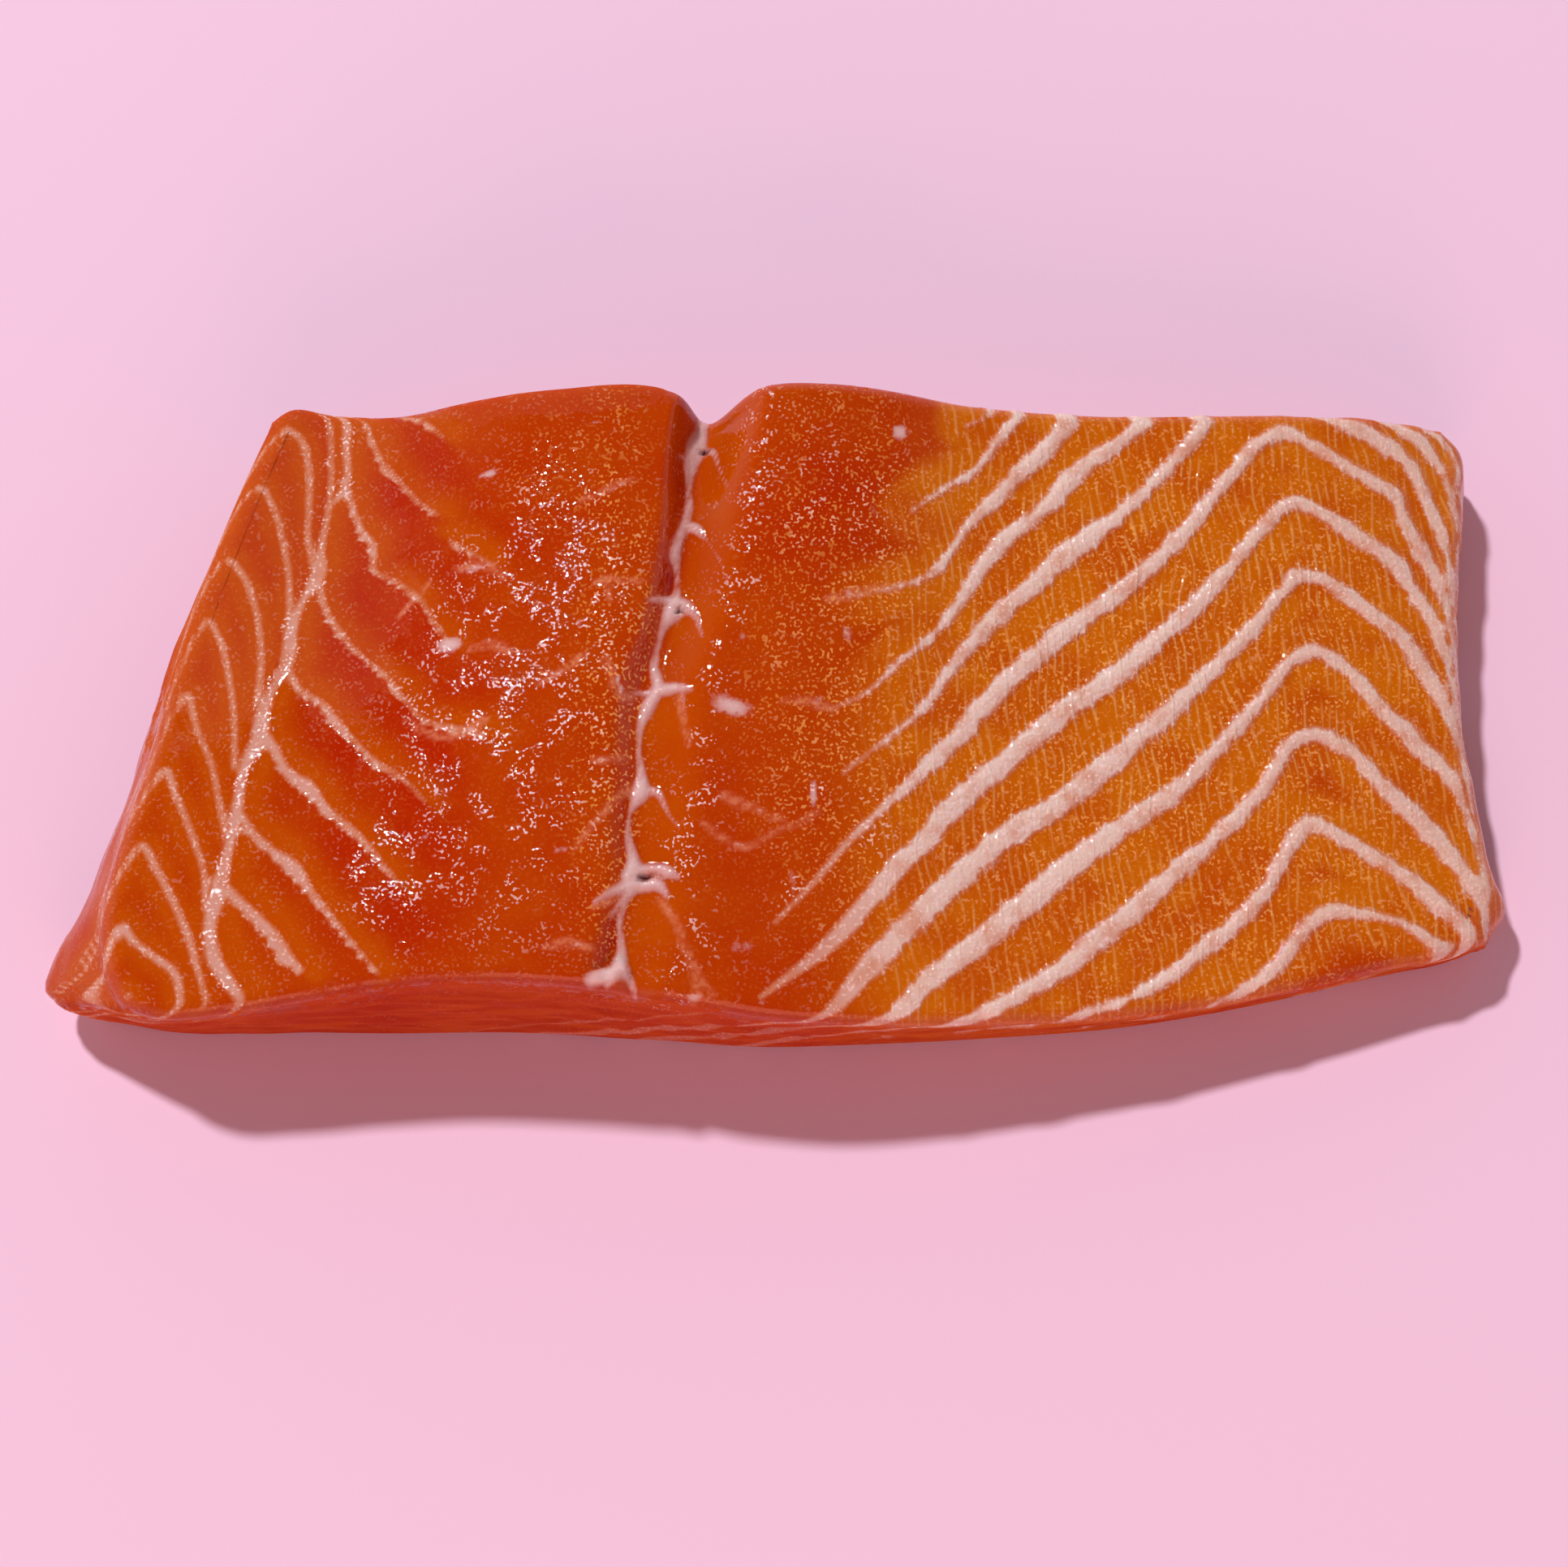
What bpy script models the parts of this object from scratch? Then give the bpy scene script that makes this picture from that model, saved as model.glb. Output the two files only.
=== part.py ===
"""King salmon fillet: a crosswise-cut, skinless portion that lies flesh side up.

The long axis (X) runs from the thick back edge of the fish at -X to the thin belly edge at +X.
The two long sides are knife cuts, with the one at -Y towards the head. The origin is the centre
of the footprint, on the surface that the fillet rests on. Sizes are in millimetres and are
turned to metres by MM.
"""

import math

import bmesh
import bpy
import numpy as np
from mathutils import Vector, noise

MM = 0.001

# Outline of the widest line round the upper edge, as seen from above, each side with its corner arcs
NEAR_CUT = [(-73.4, -30.8), (-71.6, -33.6), (-67.6, -35.5), (-60.0, -35.3), (-51.0, -34.0),
            (-42.0, -32.8), (-24.0, -32.8), (-13.0, -34.2), (-1.0, -36.0), (12.0, -36.3),
            (26.0, -35.6), (38.0, -34.6), (49.5, -32.7), (59.0, -30.6), (68.0, -28.3), (75.0, -26.8), (79.0, -25.0)]
BELLY_EDGE = [(79.0, -25.0), (80.2, -20.5), (79.6, -14.5), (78.6, -8.5), (77.6, -2.0), (77.3, 5.0),
              (77.8, 17.0), (78.8, 27.0), (78.6, 32.9), (76.4, 34.9)]
FAR_CUT = [(-57.6, 33.6), (-55.6, 34.8), (-50.0, 34.1), (-42.0, 33.3), (-33.0, 33.8), (-24.0, 34.0),
           (-13.6, 34.0), (-7.3, 32.1), (-1.8, 33.9), (5.5, 34.4), (21.5, 33.8), (40.0, 33.9),
           (58.0, 34.9), (68.0, 35.2), (76.4, 34.9)]
BACK_EDGE = [(-73.4, -30.8), (-74.2, -26.6), (-72.6, -16.0), (-70.0, -7.0), (-67.8, 3.0),
             (-65.6, 11.5), (-63.2, 18.5), (-60.0, 27.5), (-57.6, 33.6)]

# Height of the flesh above the table along each cut, at stations along X
STATIONS = [-78, -68, -60, -52, -44, -36, -28, -20, -13, -5, 3, 12, 22, 34, 46, 58, 68, 80]
FAR_HEIGHT = [17.0, 17.2, 18.2, 18.2, 19.6, 23.0, 26.0, 27.4, 27.6, 27.8, 28.0, 26.0,
              22.2, 19.8, 18.4, 16.8, 14.6, 10.5]
NEAR_HEIGHT = [17.6, 18.0, 18.6, 19.2, 20.2, 21.0, 21.4, 21.4, 20.8, 20.0, 19.0, 17.6,
               15.8, 13.8, 12.0, 10.8, 9.8, 8.4]
CROWN = 0.3
HALF_WIDTH = 35.0

# Unevenness of the flesh: height, size and seed of each layer of lumps
LUMPS = [(0.25, 17.0, 3.1), (0.05, 7.0, 8.7)]

# The seam between the back loin and the belly loin, a groove with one steep and one gentle bank
SEAM = [(-7.9, 33.2), (-8.9, 27.9), (-9.7, 20.2), (-10.3, 15.4), (-11.5, 9.7), (-12.6, 5.0),
        (-14.3, 0.4), (-15.0, -4.3), (-15.0, -9.8), (-15.6, -16.2), (-15.4, -20.7),
        (-16.8, -27.0), (-18.9, -35.0)]
SEAM_DEPTH_STATIONS = [-36, -14, 4, 20, 34]
SEAM_DEPTH = [1.6, 1.4, 2.3, 3.1, 7.8]
SEAM_SHARPNESS = 1.25
STEEP_BANK = 3.8
GENTLE_BANK = 8.0
SEAM_TISSUE_HEIGHT = 0.7
SEAM_TISSUE_WIDTH = 1.7

# Edges
CUT_RIM_RADIUS = 1.8
EDGE_RIM_RADIUS = 3.2
FOOT_RADIUS = 1.6
LEAN_STATIONS = [-36, -31, -27, -22, -14, -4, 10, 24, 36]
LEAN_BACK = [9.0, 8.6, 6.6, 4.2, 3.2, 3.0, 2.4, 1.2, 0.6]
LEAN_BELLY = 0.6
LEAN_TURN = 0.8
LEAN_NEAR_STATIONS = [-78, -66, -55, -42, -29, -19, -8, 8, 30, 80]
LEAN_NEAR_CUT = [-1.7, -1.7, -0.6, 1.3, 1.5, 1.2, 0.2, -0.9, -1.1, -0.8]
FLAKE_DEPTH = 0.45
FLAKE_PITCH = 3.4
FLAKE_WANDER = 2.5
FLAKE_WANDER_SIZE = 22.0

# Fat bands of the belly loin: chevrons whose tips lie on one line
BAND_PITCH = 9.2
BAND_RELIEF = 0.32
TIP_LINE_FAR = (57.5, 34.0)
TIP_LINE_NEAR = (64.0, -26.0)
LONG_ARM_SLOPE = 0.72
SHORT_ARM_SLOPE = -0.95
BELLY_START = 2.0
BELLY_FULL = 30.0

# A soft nub of fat on the belly edge
NUB_CENTRE = (80.2, -20.6, 5.5)
NUB_RADIUS = 2.4
NUB_HEIGHT = 1.3

# Mesh density, with the columns closer together near the seam's share of the length
COLUMNS = 86
ROWS = 36
SEAM_COLUMN = 0.37
SEAM_COLUMN_GAIN = 0.9
SEAM_COLUMN_SPREAD = 0.09
RIM_STEPS = 3
WALL_STEPS = 5
FOOT_STEPS = 1


def through(knots, values, at):
    """A smooth cubic curve through the values, read at the positions given."""
    knots, values, at = (np.asarray(a, float) for a in (knots, values, at))
    slopes = np.gradient(values, knots, axis=0)
    i = np.clip(np.searchsorted(knots, at, side="right") - 1, 0, len(knots) - 2)
    width = knots[i + 1] - knots[i]
    t = np.clip((at - knots[i]) / width, 0, 1)
    if values.ndim > 1:
        t, width = t[..., None], width[..., None]
    return ((1 + 2 * t) * (1 - t) ** 2 * values[i] + t * (1 - t) ** 2 * width * slopes[i]
            + t * t * (3 - 2 * t) * values[i + 1] + t * t * (t - 1) * width * slopes[i + 1])


def side(points, shares):
    """Points along one side of the outline, at shares of its length from 0 to 1."""
    points = np.array(points, float)
    steps = np.hypot(*np.diff(points, axis=0).T)
    knots = np.concatenate([[0], np.cumsum(steps)]) / steps.sum()
    return through(knots, points, shares)


def ease(t):
    """0 to 1 with no slope at either end."""
    t = np.clip(t, 0, 1)
    return t * t * (3 - 2 * t)


def ripple(x, y, z, size, seed):
    """Smooth noise of about one unit, with features of the given size."""
    points = np.stack(np.broadcast_arrays(x, y, z), -1).reshape(-1, 3) / size + seed
    found = np.array([noise.noise(Vector(p)) for p in points])
    return found.reshape(np.broadcast(x, y, z).shape)


def seam_x(y):
    """Where the seam lies across the fillet, for a place between the two cuts."""
    path = np.array(SEAM[::-1], float)
    return through(path[:, 1], path[:, 0], y)


def seam_depth(y):
    """How far the groove sinks below its banks."""
    return through(SEAM_DEPTH_STATIONS, SEAM_DEPTH, y)


def groove(x, y):
    """Depth of the seam's groove, less the ridge of tissue that lies in it."""
    across = x - seam_x(y)
    bank = np.where(across < 0, STEEP_BANK, GENTLE_BANK)
    depth = seam_depth(y) * (1 - ease(np.abs(across) / bank)) ** SEAM_SHARPNESS
    tissue = SEAM_TISSUE_HEIGHT * np.exp(-(across / SEAM_TISSUE_WIDTH) ** 2)
    return depth - tissue


def bands(x, y):
    """Relief of the belly's fat bands, raised a little between shallow strips of flesh."""
    share = (y - TIP_LINE_NEAR[1]) / (TIP_LINE_FAR[1] - TIP_LINE_NEAR[1])
    tip = TIP_LINE_NEAR[0] + share * (TIP_LINE_FAR[0] - TIP_LINE_NEAR[0])
    away = x - tip
    rise = np.where(away < 0, LONG_ARM_SLOPE * away, SHORT_ARM_SLOPE * away)
    wave = np.cos(2 * math.pi * (y - rise) / BAND_PITCH)
    return BAND_RELIEF * wave * ease((x - BELLY_START) / (BELLY_FULL - BELLY_START))


def flesh_height(x, y):
    """Height of the upper surface above the table."""
    share = np.clip((y + HALF_WIDTH) / (2 * HALF_WIDTH), 0, 1)
    between = (1 - share) * through(STATIONS, NEAR_HEIGHT, x) + share * through(STATIONS, FAR_HEIGHT, x)
    crown = CROWN * np.sin(math.pi * share)
    lumps = sum(height * ripple(x, y, 0, size, seed) for height, size, seed in LUMPS)
    return between + crown + lumps + bands(x, y) - groove(x, y)


def columns_across():
    """Positions of the columns from 0 to 1, closer together round the seam."""
    fine = np.linspace(0, 1, 400)
    density = 1 + SEAM_COLUMN_GAIN * np.exp(-((fine - SEAM_COLUMN) / SEAM_COLUMN_SPREAD) ** 2)
    total = np.concatenate([[0], np.cumsum((density[1:] + density[:-1]) / 2)])
    return np.interp(np.linspace(0, total[-1], COLUMNS + 1), total, fine)


def outline(columns, rows):
    """The closed outline, counter-clockwise from the near corner of the back edge, with what each
    point needs: its place, its outward direction, the lean of the wall below it, and the radius
    that rounds its rim."""
    near, far = side(NEAR_CUT, columns), side(FAR_CUT, columns)
    back, belly = side(BACK_EDGE, rows), side(BELLY_EDGE, rows)
    loop = np.concatenate([near[:-1], belly[:-1], far[:0:-1], back[:0:-1]])
    tangent = np.roll(loop, -1, axis=0) - np.roll(loop, 1, axis=0)
    outward = np.stack([tangent[:, 1], -tangent[:, 0]], -1)
    outward /= np.linalg.norm(outward, axis=1, keepdims=True)
    to_back, to_belly = np.clip(-outward[:, 0], 0, 1), np.clip(outward[:, 0], 0, 1) ** 2
    to_near = np.clip(-outward[:, 1], 0, 1) ** 2
    lean = np.stack([to_belly * LEAN_BELLY - to_back * through(LEAN_STATIONS, LEAN_BACK, loop[:, 1]),
                     -to_near * through(LEAN_NEAR_STATIONS, LEAN_NEAR_CUT, loop[:, 0])], -1)
    radius = CUT_RIM_RADIUS + (EDGE_RIM_RADIUS - CUT_RIM_RADIUS) * outward[:, 0] ** 2
    return loop, outward, lean, radius


def grid_places(loop, columns, rows):
    """Places of the upper surface's grid, blended between the four sides of its outline."""
    n, m = len(columns) - 1, len(rows) - 1
    near, belly = loop[:n + 1], loop[n:n + m + 1]
    far = loop[n + m:2 * n + m + 1][::-1]
    back = np.concatenate([loop[:1], loop[2 * n + m:][::-1]])
    u, v = columns[:, None, None], rows[None, :, None]
    corners = ((1 - u) * (1 - v) * near[0] + u * (1 - v) * near[-1]
               + (1 - u) * v * far[0] + u * v * far[-1])
    return ((1 - v) * near[:, None] + v * far[:, None]
            + (1 - u) * back[None, :] + u * belly[None, :] - corners)


def grid_order(bm, count_x, count_y):
    """The grid's vertices by column and row."""
    ordered = sorted(bm.verts, key=lambda v: (round(v.co.x * count_x), round(v.co.y * count_y)))
    return np.array(ordered, dtype=object).reshape(count_x + 1, count_y + 1)


def place(verts, x, y, z):
    """Moves vertices to places given in millimetres."""
    for vert, a, b, c in zip(verts, x, y, z):
        vert.co = Vector((a, b, c)) * MM


def wall_profile():
    """Rows down the wall: (share of the rim's arc, share of the wall, share of the foot's arc)."""
    rows = [(k / RIM_STEPS, 0.0, 0.0) for k in range(1, RIM_STEPS + 1)]
    rows += [(1.0, k / WALL_STEPS, 0.0) for k in range(1, WALL_STEPS + 1)]
    rows += [(1.0, 1.0, k / FOOT_STEPS) for k in range(1, FOOT_STEPS + 1)]
    return rows


def wall_row(row, inner, outward, lean, radius, top):
    """One row of the wall: arc over the rim, down the cut, and in under the foot."""
    arc, down, foot = row
    turn, tuck = arc * math.pi / 2, foot * math.pi / 2
    out = radius * math.sin(turn) - FOOT_RADIUS * (1 - math.cos(tuck))
    rim = top - radius * (1 - math.cos(turn))
    z = rim + down * (FOOT_RADIUS - rim) - FOOT_RADIUS * math.sin(tuck) * (down == 1)
    bulge = [math.sin(LEAN_TURN * down * math.pi), math.sin(down * math.pi / 2)]
    flesh = inner + outward * out[:, None] + lean * bulge
    wander = FLAKE_WANDER * ripple(flesh[:, 0], flesh[:, 1], z, FLAKE_WANDER_SIZE, 5.3)
    flake = np.sin(2 * math.pi * z / FLAKE_PITCH + wander)
    strength = FLAKE_DEPTH * np.abs(outward[:, 1]) * math.sin(down * math.pi)
    nub = np.exp(-((flesh[:, 0] - NUB_CENTRE[0]) ** 2 + (flesh[:, 1] - NUB_CENTRE[1]) ** 2
                   + (z - NUB_CENTRE[2]) ** 2) / NUB_RADIUS ** 2)
    flesh = flesh + outward * (strength * flake + NUB_HEIGHT * nub)[:, None]
    return flesh[:, 0], flesh[:, 1], z


def boundary_loop(grid):
    """The grid's edge vertices in the outline's order."""
    near, belly = grid[:-1, 0], grid[-1, :-1]
    return [*near, *belly, *grid[:0:-1, -1], *grid[0, :0:-1]]


def fillet_mesh():
    """Upper surface from a grid, walls extruded down from its edge, closed by the flat underside."""
    bm = bmesh.new()
    bmesh.ops.create_grid(bm, x_segments=COLUMNS, y_segments=ROWS, size=0.5)
    grid = grid_order(bm, COLUMNS, ROWS)
    columns = columns_across()
    rows = np.linspace(0, 1, ROWS + 1)
    rim, outward, lean, radius = outline(columns, rows)
    inner = rim - outward * radius[:, None]
    places = grid_places(inner, columns, rows)
    height = flesh_height(places[..., 0], places[..., 1])
    place(grid.ravel(), places[..., 0].ravel(), places[..., 1].ravel(), height.ravel())

    loop = boundary_loop(grid)
    top = flesh_height(inner[:, 0], inner[:, 1])
    for row in wall_profile():
        edges = [bm.edges.get((a, b)) for a, b in zip(loop, loop[1:] + loop[:1])]
        made = bmesh.ops.extrude_edge_only(bm, edges=edges)["geom"]
        fresh = {v for v in made if isinstance(v, bmesh.types.BMVert)}
        loop = [next(e.other_vert(v) for e in v.link_edges if e.other_vert(v) in fresh) for v in loop]
        place(loop, *wall_row(row, inner, outward, lean, radius, top))
    bm.faces.new(loop)
    bmesh.ops.triangulate(bm, faces=[f for f in bm.faces if len(f.verts) > 4])
    bmesh.ops.recalc_face_normals(bm, faces=bm.faces)
    centre_on_base(bm)
    mesh = bpy.data.meshes.new("fillet")
    bm.to_mesh(mesh)
    bm.free()
    return mesh


def centre_on_base(bm):
    """Puts the origin at the middle of the footprint, on the underside."""
    corners = [[pick(v.co[axis] for v in bm.verts) for axis in range(3)] for pick in (min, max)]
    low, high = (Vector(c) for c in corners)
    middle = (low + high) / 2
    bmesh.ops.translate(bm, verts=bm.verts, vec=(-middle.x, -middle.y, -low.z))


def flesh_material():
    """Wet raw salmon."""
    material = bpy.data.materials.new("salmon_flesh")
    material.use_nodes = True
    shader = material.node_tree.nodes["Principled BSDF"]
    shader.inputs["Base Color"].default_value = (0.78, 0.16, 0.02, 1.0)
    shader.inputs["Roughness"].default_value = 0.3
    shader.inputs["Metallic"].default_value = 0.0
    return material


def main():
    for old in list(bpy.data.objects):
        bpy.data.objects.remove(old)
    mesh = fillet_mesh()
    mesh.materials.append(flesh_material())
    mesh.shade_smooth()
    fillet = bpy.data.objects.new("fillet", mesh)
    bpy.context.scene.collection.objects.link(fillet)


main()
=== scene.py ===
# %% [markdown]
# # A raw king salmon fillet
#
# This lesson dresses a plain solid model of a salmon portion so that it looks like wet fish: a
# thick loin, a seam of white tissue, and a belly striped with fat. The solid model is the frame.
# It keeps the size and the place of everything, so the first step only loads it.

# %% Load the solid model
import math

import bmesh
import bpy
import numpy as np
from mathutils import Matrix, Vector, noise
from mathutils.kdtree import KDTree


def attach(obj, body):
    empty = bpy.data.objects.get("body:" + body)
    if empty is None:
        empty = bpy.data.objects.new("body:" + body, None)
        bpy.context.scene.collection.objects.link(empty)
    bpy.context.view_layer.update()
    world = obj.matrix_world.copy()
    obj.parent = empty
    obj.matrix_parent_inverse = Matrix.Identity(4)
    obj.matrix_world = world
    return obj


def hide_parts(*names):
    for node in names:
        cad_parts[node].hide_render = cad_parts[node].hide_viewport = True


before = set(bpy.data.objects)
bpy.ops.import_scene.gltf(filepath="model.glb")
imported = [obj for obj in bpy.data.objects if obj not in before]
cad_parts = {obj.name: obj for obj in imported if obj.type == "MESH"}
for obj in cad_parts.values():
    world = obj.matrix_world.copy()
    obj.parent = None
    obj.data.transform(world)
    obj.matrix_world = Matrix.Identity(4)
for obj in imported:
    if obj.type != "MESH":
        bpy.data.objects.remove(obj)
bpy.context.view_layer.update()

MM = 0.001

# %% [markdown]
# ## The outline and the height
#
# A fillet has no straight line in it, so its shape comes from smooth curves through a few points.
# Four curves go round the upper edge: two knife cuts and the natural back and belly edges. Two
# more give the height of the flesh along the cuts. The points are the solid model's own, so the
# fine surface lies exactly where the solid does. They are in millimetres, in the frame in which
# the fillet was drawn, whose middle is DRAWN_MIDDLE.

# %% Curves of the fillet
DRAWN_MIDDLE = np.array([0.25, -0.43])
NEAR_CUT = [(-73.4, -30.8), (-71.6, -33.6), (-67.6, -35.5), (-60.0, -35.3), (-51.0, -34.0),
            (-42.0, -32.8), (-24.0, -32.8), (-13.0, -34.2), (-1.0, -36.0), (12.0, -36.3),
            (26.0, -35.6), (38.0, -34.6), (49.5, -32.7), (59.0, -30.6),
            (68.0, -28.3), (75.0, -26.8), (79.0, -25.0)]
BELLY_EDGE = [(79.0, -25.0), (80.2, -20.5), (79.6, -14.5), (78.6, -8.5), (77.6, -2.0), (77.3, 5.0),
              (77.8, 17.0), (78.8, 27.0), (78.6, 32.9), (76.4, 34.9)]
FAR_CUT = [(-57.6, 33.6), (-55.6, 34.8), (-50.0, 34.1), (-42.0, 33.3), (-33.0, 33.8), (-24.0, 34.0),
           (-13.6, 34.0), (-7.3, 32.1), (-1.8, 33.9), (5.5, 34.4), (21.5, 33.8), (40.0, 33.9),
           (58.0, 34.9), (68.0, 35.2), (76.4, 34.9)]
BACK_EDGE = [(-73.4, -30.8), (-74.2, -26.6), (-72.6, -16.0), (-70.0, -7.0), (-67.8, 3.0),
             (-65.6, 11.5), (-63.2, 18.5), (-60.0, 27.5), (-57.6, 33.6)]
STATIONS = [-78, -68, -60, -52, -44, -36, -28, -20, -13, -5, 3, 12, 22, 34, 46, 58, 68, 80]
FAR_HEIGHT = [17.0, 17.2, 18.2, 18.2, 19.6, 23.0, 26.0, 27.4, 27.6, 27.8, 28.0, 26.0,
              22.2, 19.8, 18.4, 16.8, 14.6, 10.5]
NEAR_HEIGHT = [17.6, 18.0, 18.6, 19.2, 20.2, 21.0, 21.4, 21.4, 20.8, 20.0, 19.0, 17.6,
               15.8, 13.8, 12.0, 10.8, 9.8, 8.4]
CROWN = 0.3
HALF_WIDTH = 35.0
LUMPS = [(0.25, 17.0, 3.1), (0.05, 7.0, 8.7)]
print("curves:", sum(len(c) for c in (NEAR_CUT, BELLY_EDGE, FAR_CUT, BACK_EDGE)), "points")


# %% Helpers for curves
def through(knots, values, at):
    """A smooth cubic curve through the values, read at the positions given."""
    knots, values, at = (np.asarray(a, float) for a in (knots, values, at))
    slopes = np.gradient(values, knots, axis=0)
    i = np.clip(np.searchsorted(knots, at, side="right") - 1, 0, len(knots) - 2)
    width = knots[i + 1] - knots[i]
    t = np.clip((at - knots[i]) / width, 0, 1)
    if values.ndim > 1:
        t, width = t[..., None], width[..., None]
    return ((1 + 2 * t) * (1 - t) ** 2 * values[i] + t * (1 - t) ** 2 * width * slopes[i]
            + t * t * (3 - 2 * t) * values[i + 1] + t * t * (t - 1) * width * slopes[i + 1])


def along(points, shares):
    """Points along a curve through the points given, at shares of its length from 0 to 1."""
    points = np.array(points, float)
    steps = np.hypot(*np.diff(points[:, :2], axis=0).T)
    knots = np.concatenate([[0], np.cumsum(steps)]) / steps.sum()
    return through(knots, points, shares)


def ease(t):
    """0 to 1 with no slope at either end."""
    t = np.clip(t, 0, 1)
    return t * t * (3 - 2 * t)


def ripple(x, y, z, size, seed):
    """Smooth noise of about one unit, with features of the given size."""
    points = np.stack(np.broadcast_arrays(x, y, z), -1).reshape(-1, 3) / size + seed
    found = np.array([noise.noise(Vector(p)) for p in points])
    return found.reshape(np.broadcast(x, y, z).shape)


print("near cut, a quarter of the way along it, mm:", along(NEAR_CUT, [0.25])[0].round(1))

# %% [markdown]
# ## The fat
#
# The white lines in salmon are sheets of fat and tissue between the flakes of muscle. On the
# belly they are broad chevrons, on the back they are thin hooks that meet in one thick line, and
# from that line ragged veins run into the loin. An image could hold this pattern, but curves stay
# sharp at any size and can also raise the surface. Each curve is a list of (x, y, width) in
# millimetres, measured from PATTERN_MIDDLE in the frame in which the fillet was drawn.

# %% Belly bands
PATTERN_MIDDLE = np.array([0.16, -0.92])
BELLY_BANDS = [
    [(25.5, 35, .8), (23.5, 33.4, .7), (21, 31.8, .4)],
    [(28.3, 35, 1.4), (24.5, 30.5, 1.1), (21.5, 26.5, .8), (18, 24, .5), (14.5, 21, .3)],
    [(34, 36, 2.6), (31.5, 32, 2.2), (25, 24.8, 1.9), (21, 20.3, 1.1), (16.5, 14.2, .8),
     (12.5, 12.2, .5), (8, 11, .3)],
    [(43, 35.5, 2.0), (39, 31.8, 1.7), (34, 28, 2.2), (29.5, 22.8, 2.0), (24.5, 18.5, 2.1),
     (21, 13.5, 1.5), (18.2, 9, 1.0), (13, 3.8, .7), (9, 0, .5), (5.5, -1.6, .3)],
    [(49.5, 36, 2.0), (46.5, 31.5, 1.7), (42.5, 27, 1.4), (38, 22.5, 1.9), (33.5, 19, 2.6),
     (26.5, 12.5, 2.3), (22.5, 8.5, 2.1), (19, 4, 1.5), (15, -1.7, .9), (11, -5.2, .6), (7, -8.5, .4)],
    [(77.4, 6, 1.0), (75.5, 15, 1.8), (73.2, 20, 2.2), (71, 24, 2.0), (70.4, 26, 2.1),
     (66.5, 28.5, 1.8), (61.5, 31.3, 1.6), (57, 33.2, 1.8), (54.5, 31.8, 1.8), (50.5, 27.3, 1.8),
     (45.5, 21, 1.9), (39.5, 15, 2.1), (32, 9, 2.3), (27.3, 5, 2.3), (22.7, .2, 2.4),
     (19.3, -4, 2.0), (13.5, -10, 1.2), (7.5, -16, .9), (3.5, -20.8, .7), (-.5, -25, .4)],
    [(77.2, -1, 1.1), (76, 6.5, 1.6), (74, 12, 2.1), (71.2, 16.5, 2.0), (70, 18.5, 2.2),
     (65.5, 21.3, 2.0), (60.5, 24.3, 1.7), (58, 25, 1.7), (55.5, 23, 1.7), (50.5, 17, 2.0),
     (44, 10, 2.1), (39, 5.5, 2.4), (31.5, -.3, 2.5), (24, -6.8, 2.5), (19, -11.5, 2.6),
     (14.3, -17, 2.4), (10.5, -21.3, 2.2), (5, -27.5, 1.7), (1.3, -30.5, 1.0), (-2, -33, .5)],
    [(77.9, -8, 1.1), (76.8, -2, 1.6), (73, 5.8, 2.1), (70, 10, 2.2), (65.5, 13.3, 1.9),
     (61, 16.2, 1.7), (58.5, 16.5, 1.8), (56.5, 14.5, 1.7), (51, 8, 1.8), (44.5, 1.5, 2.2),
     (38.5, -4, 2.4), (31, -10.3, 2.8), (23.5, -15.5, 2.7), (16.5, -22.3, 2.7), (11.5, -27.5, 2.8),
     (7.5, -32, 2.0), (4, -36.6, .9)],
    [(79, -18, 1.1), (78, -12, 1.4), (75.5, -6.5, 2.2), (71.5, -2.5, 2.5), (67.5, 1.5, 2.2),
     (63.5, 6, 1.8), (60.5, 7.7, 1.9), (57.8, 7, 1.7), (54.5, 3, 1.9), (49, -3.2, 1.8),
     (44.5, -8, 2.2), (37, -13.5, 2.6), (29.5, -19.5, 2.9), (22, -26, 2.8), (17, -30, 2.5),
     (10.5, -37, 1.9)],
    [(79.6, -21.5, 2.2), (76.5, -17, 2.3), (72, -11.8, 2.6), (67, -7, 2.2), (62.5, -2.6, 1.8),
     (60, -1.7, 1.9), (57.5, -2.4, 1.7), (55, -6, 1.7), (51, -11, 1.8), (44, -17.3, 2.4),
     (36.5, -24, 2.5), (29, -30, 2.2), (24, -33, 2.2), (19, -36.5, 2.0)],
    [(78.5, -25.3, 2.0), (75.5, -22.3, 2.2), (71, -18.5, 2.2), (66, -15.3, 1.9), (61, -12.6, 1.8),
     (58.6, -11.9, 2.0), (57, -13.7, 1.7), (54.5, -18, 1.8), (51, -22.5, 2.0), (46, -26.5, 2.0),
     (41.5, -30, 1.6), (36.5, -32.5, 1.4), (33, -33.8, 1.1)],
    [(75, -25.6, 1.6), (71.8, -24.3, 1.5), (69, -22.6, 1.2), (65, -21.8, 1.3), (61, -21.7, 1.7),
     (58.5, -23, 1.9), (55.8, -26.3, 1.7), (53, -29.3, 1.8), (49.5, -31.5, 1.2)],
    [(63, 35.6, 2.0), (68, 33.3, 2.4), (72.3, 30, 2.0), (74, 26, 1.8), (76, 21, 1.6), (77, 14, 1.0)],
    [(70, 35.8, 1.8), (73.5, 33.5, 1.8), (76, 30, 1.4), (77.6, 25, 1.0), (77.8, 18, .8)],
    [(75, 35.4, 1.2), (77.4, 33, 1.2), (78.4, 29.5, .9)],
]
print(len(BELLY_BANDS), "belly bands")

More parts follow.
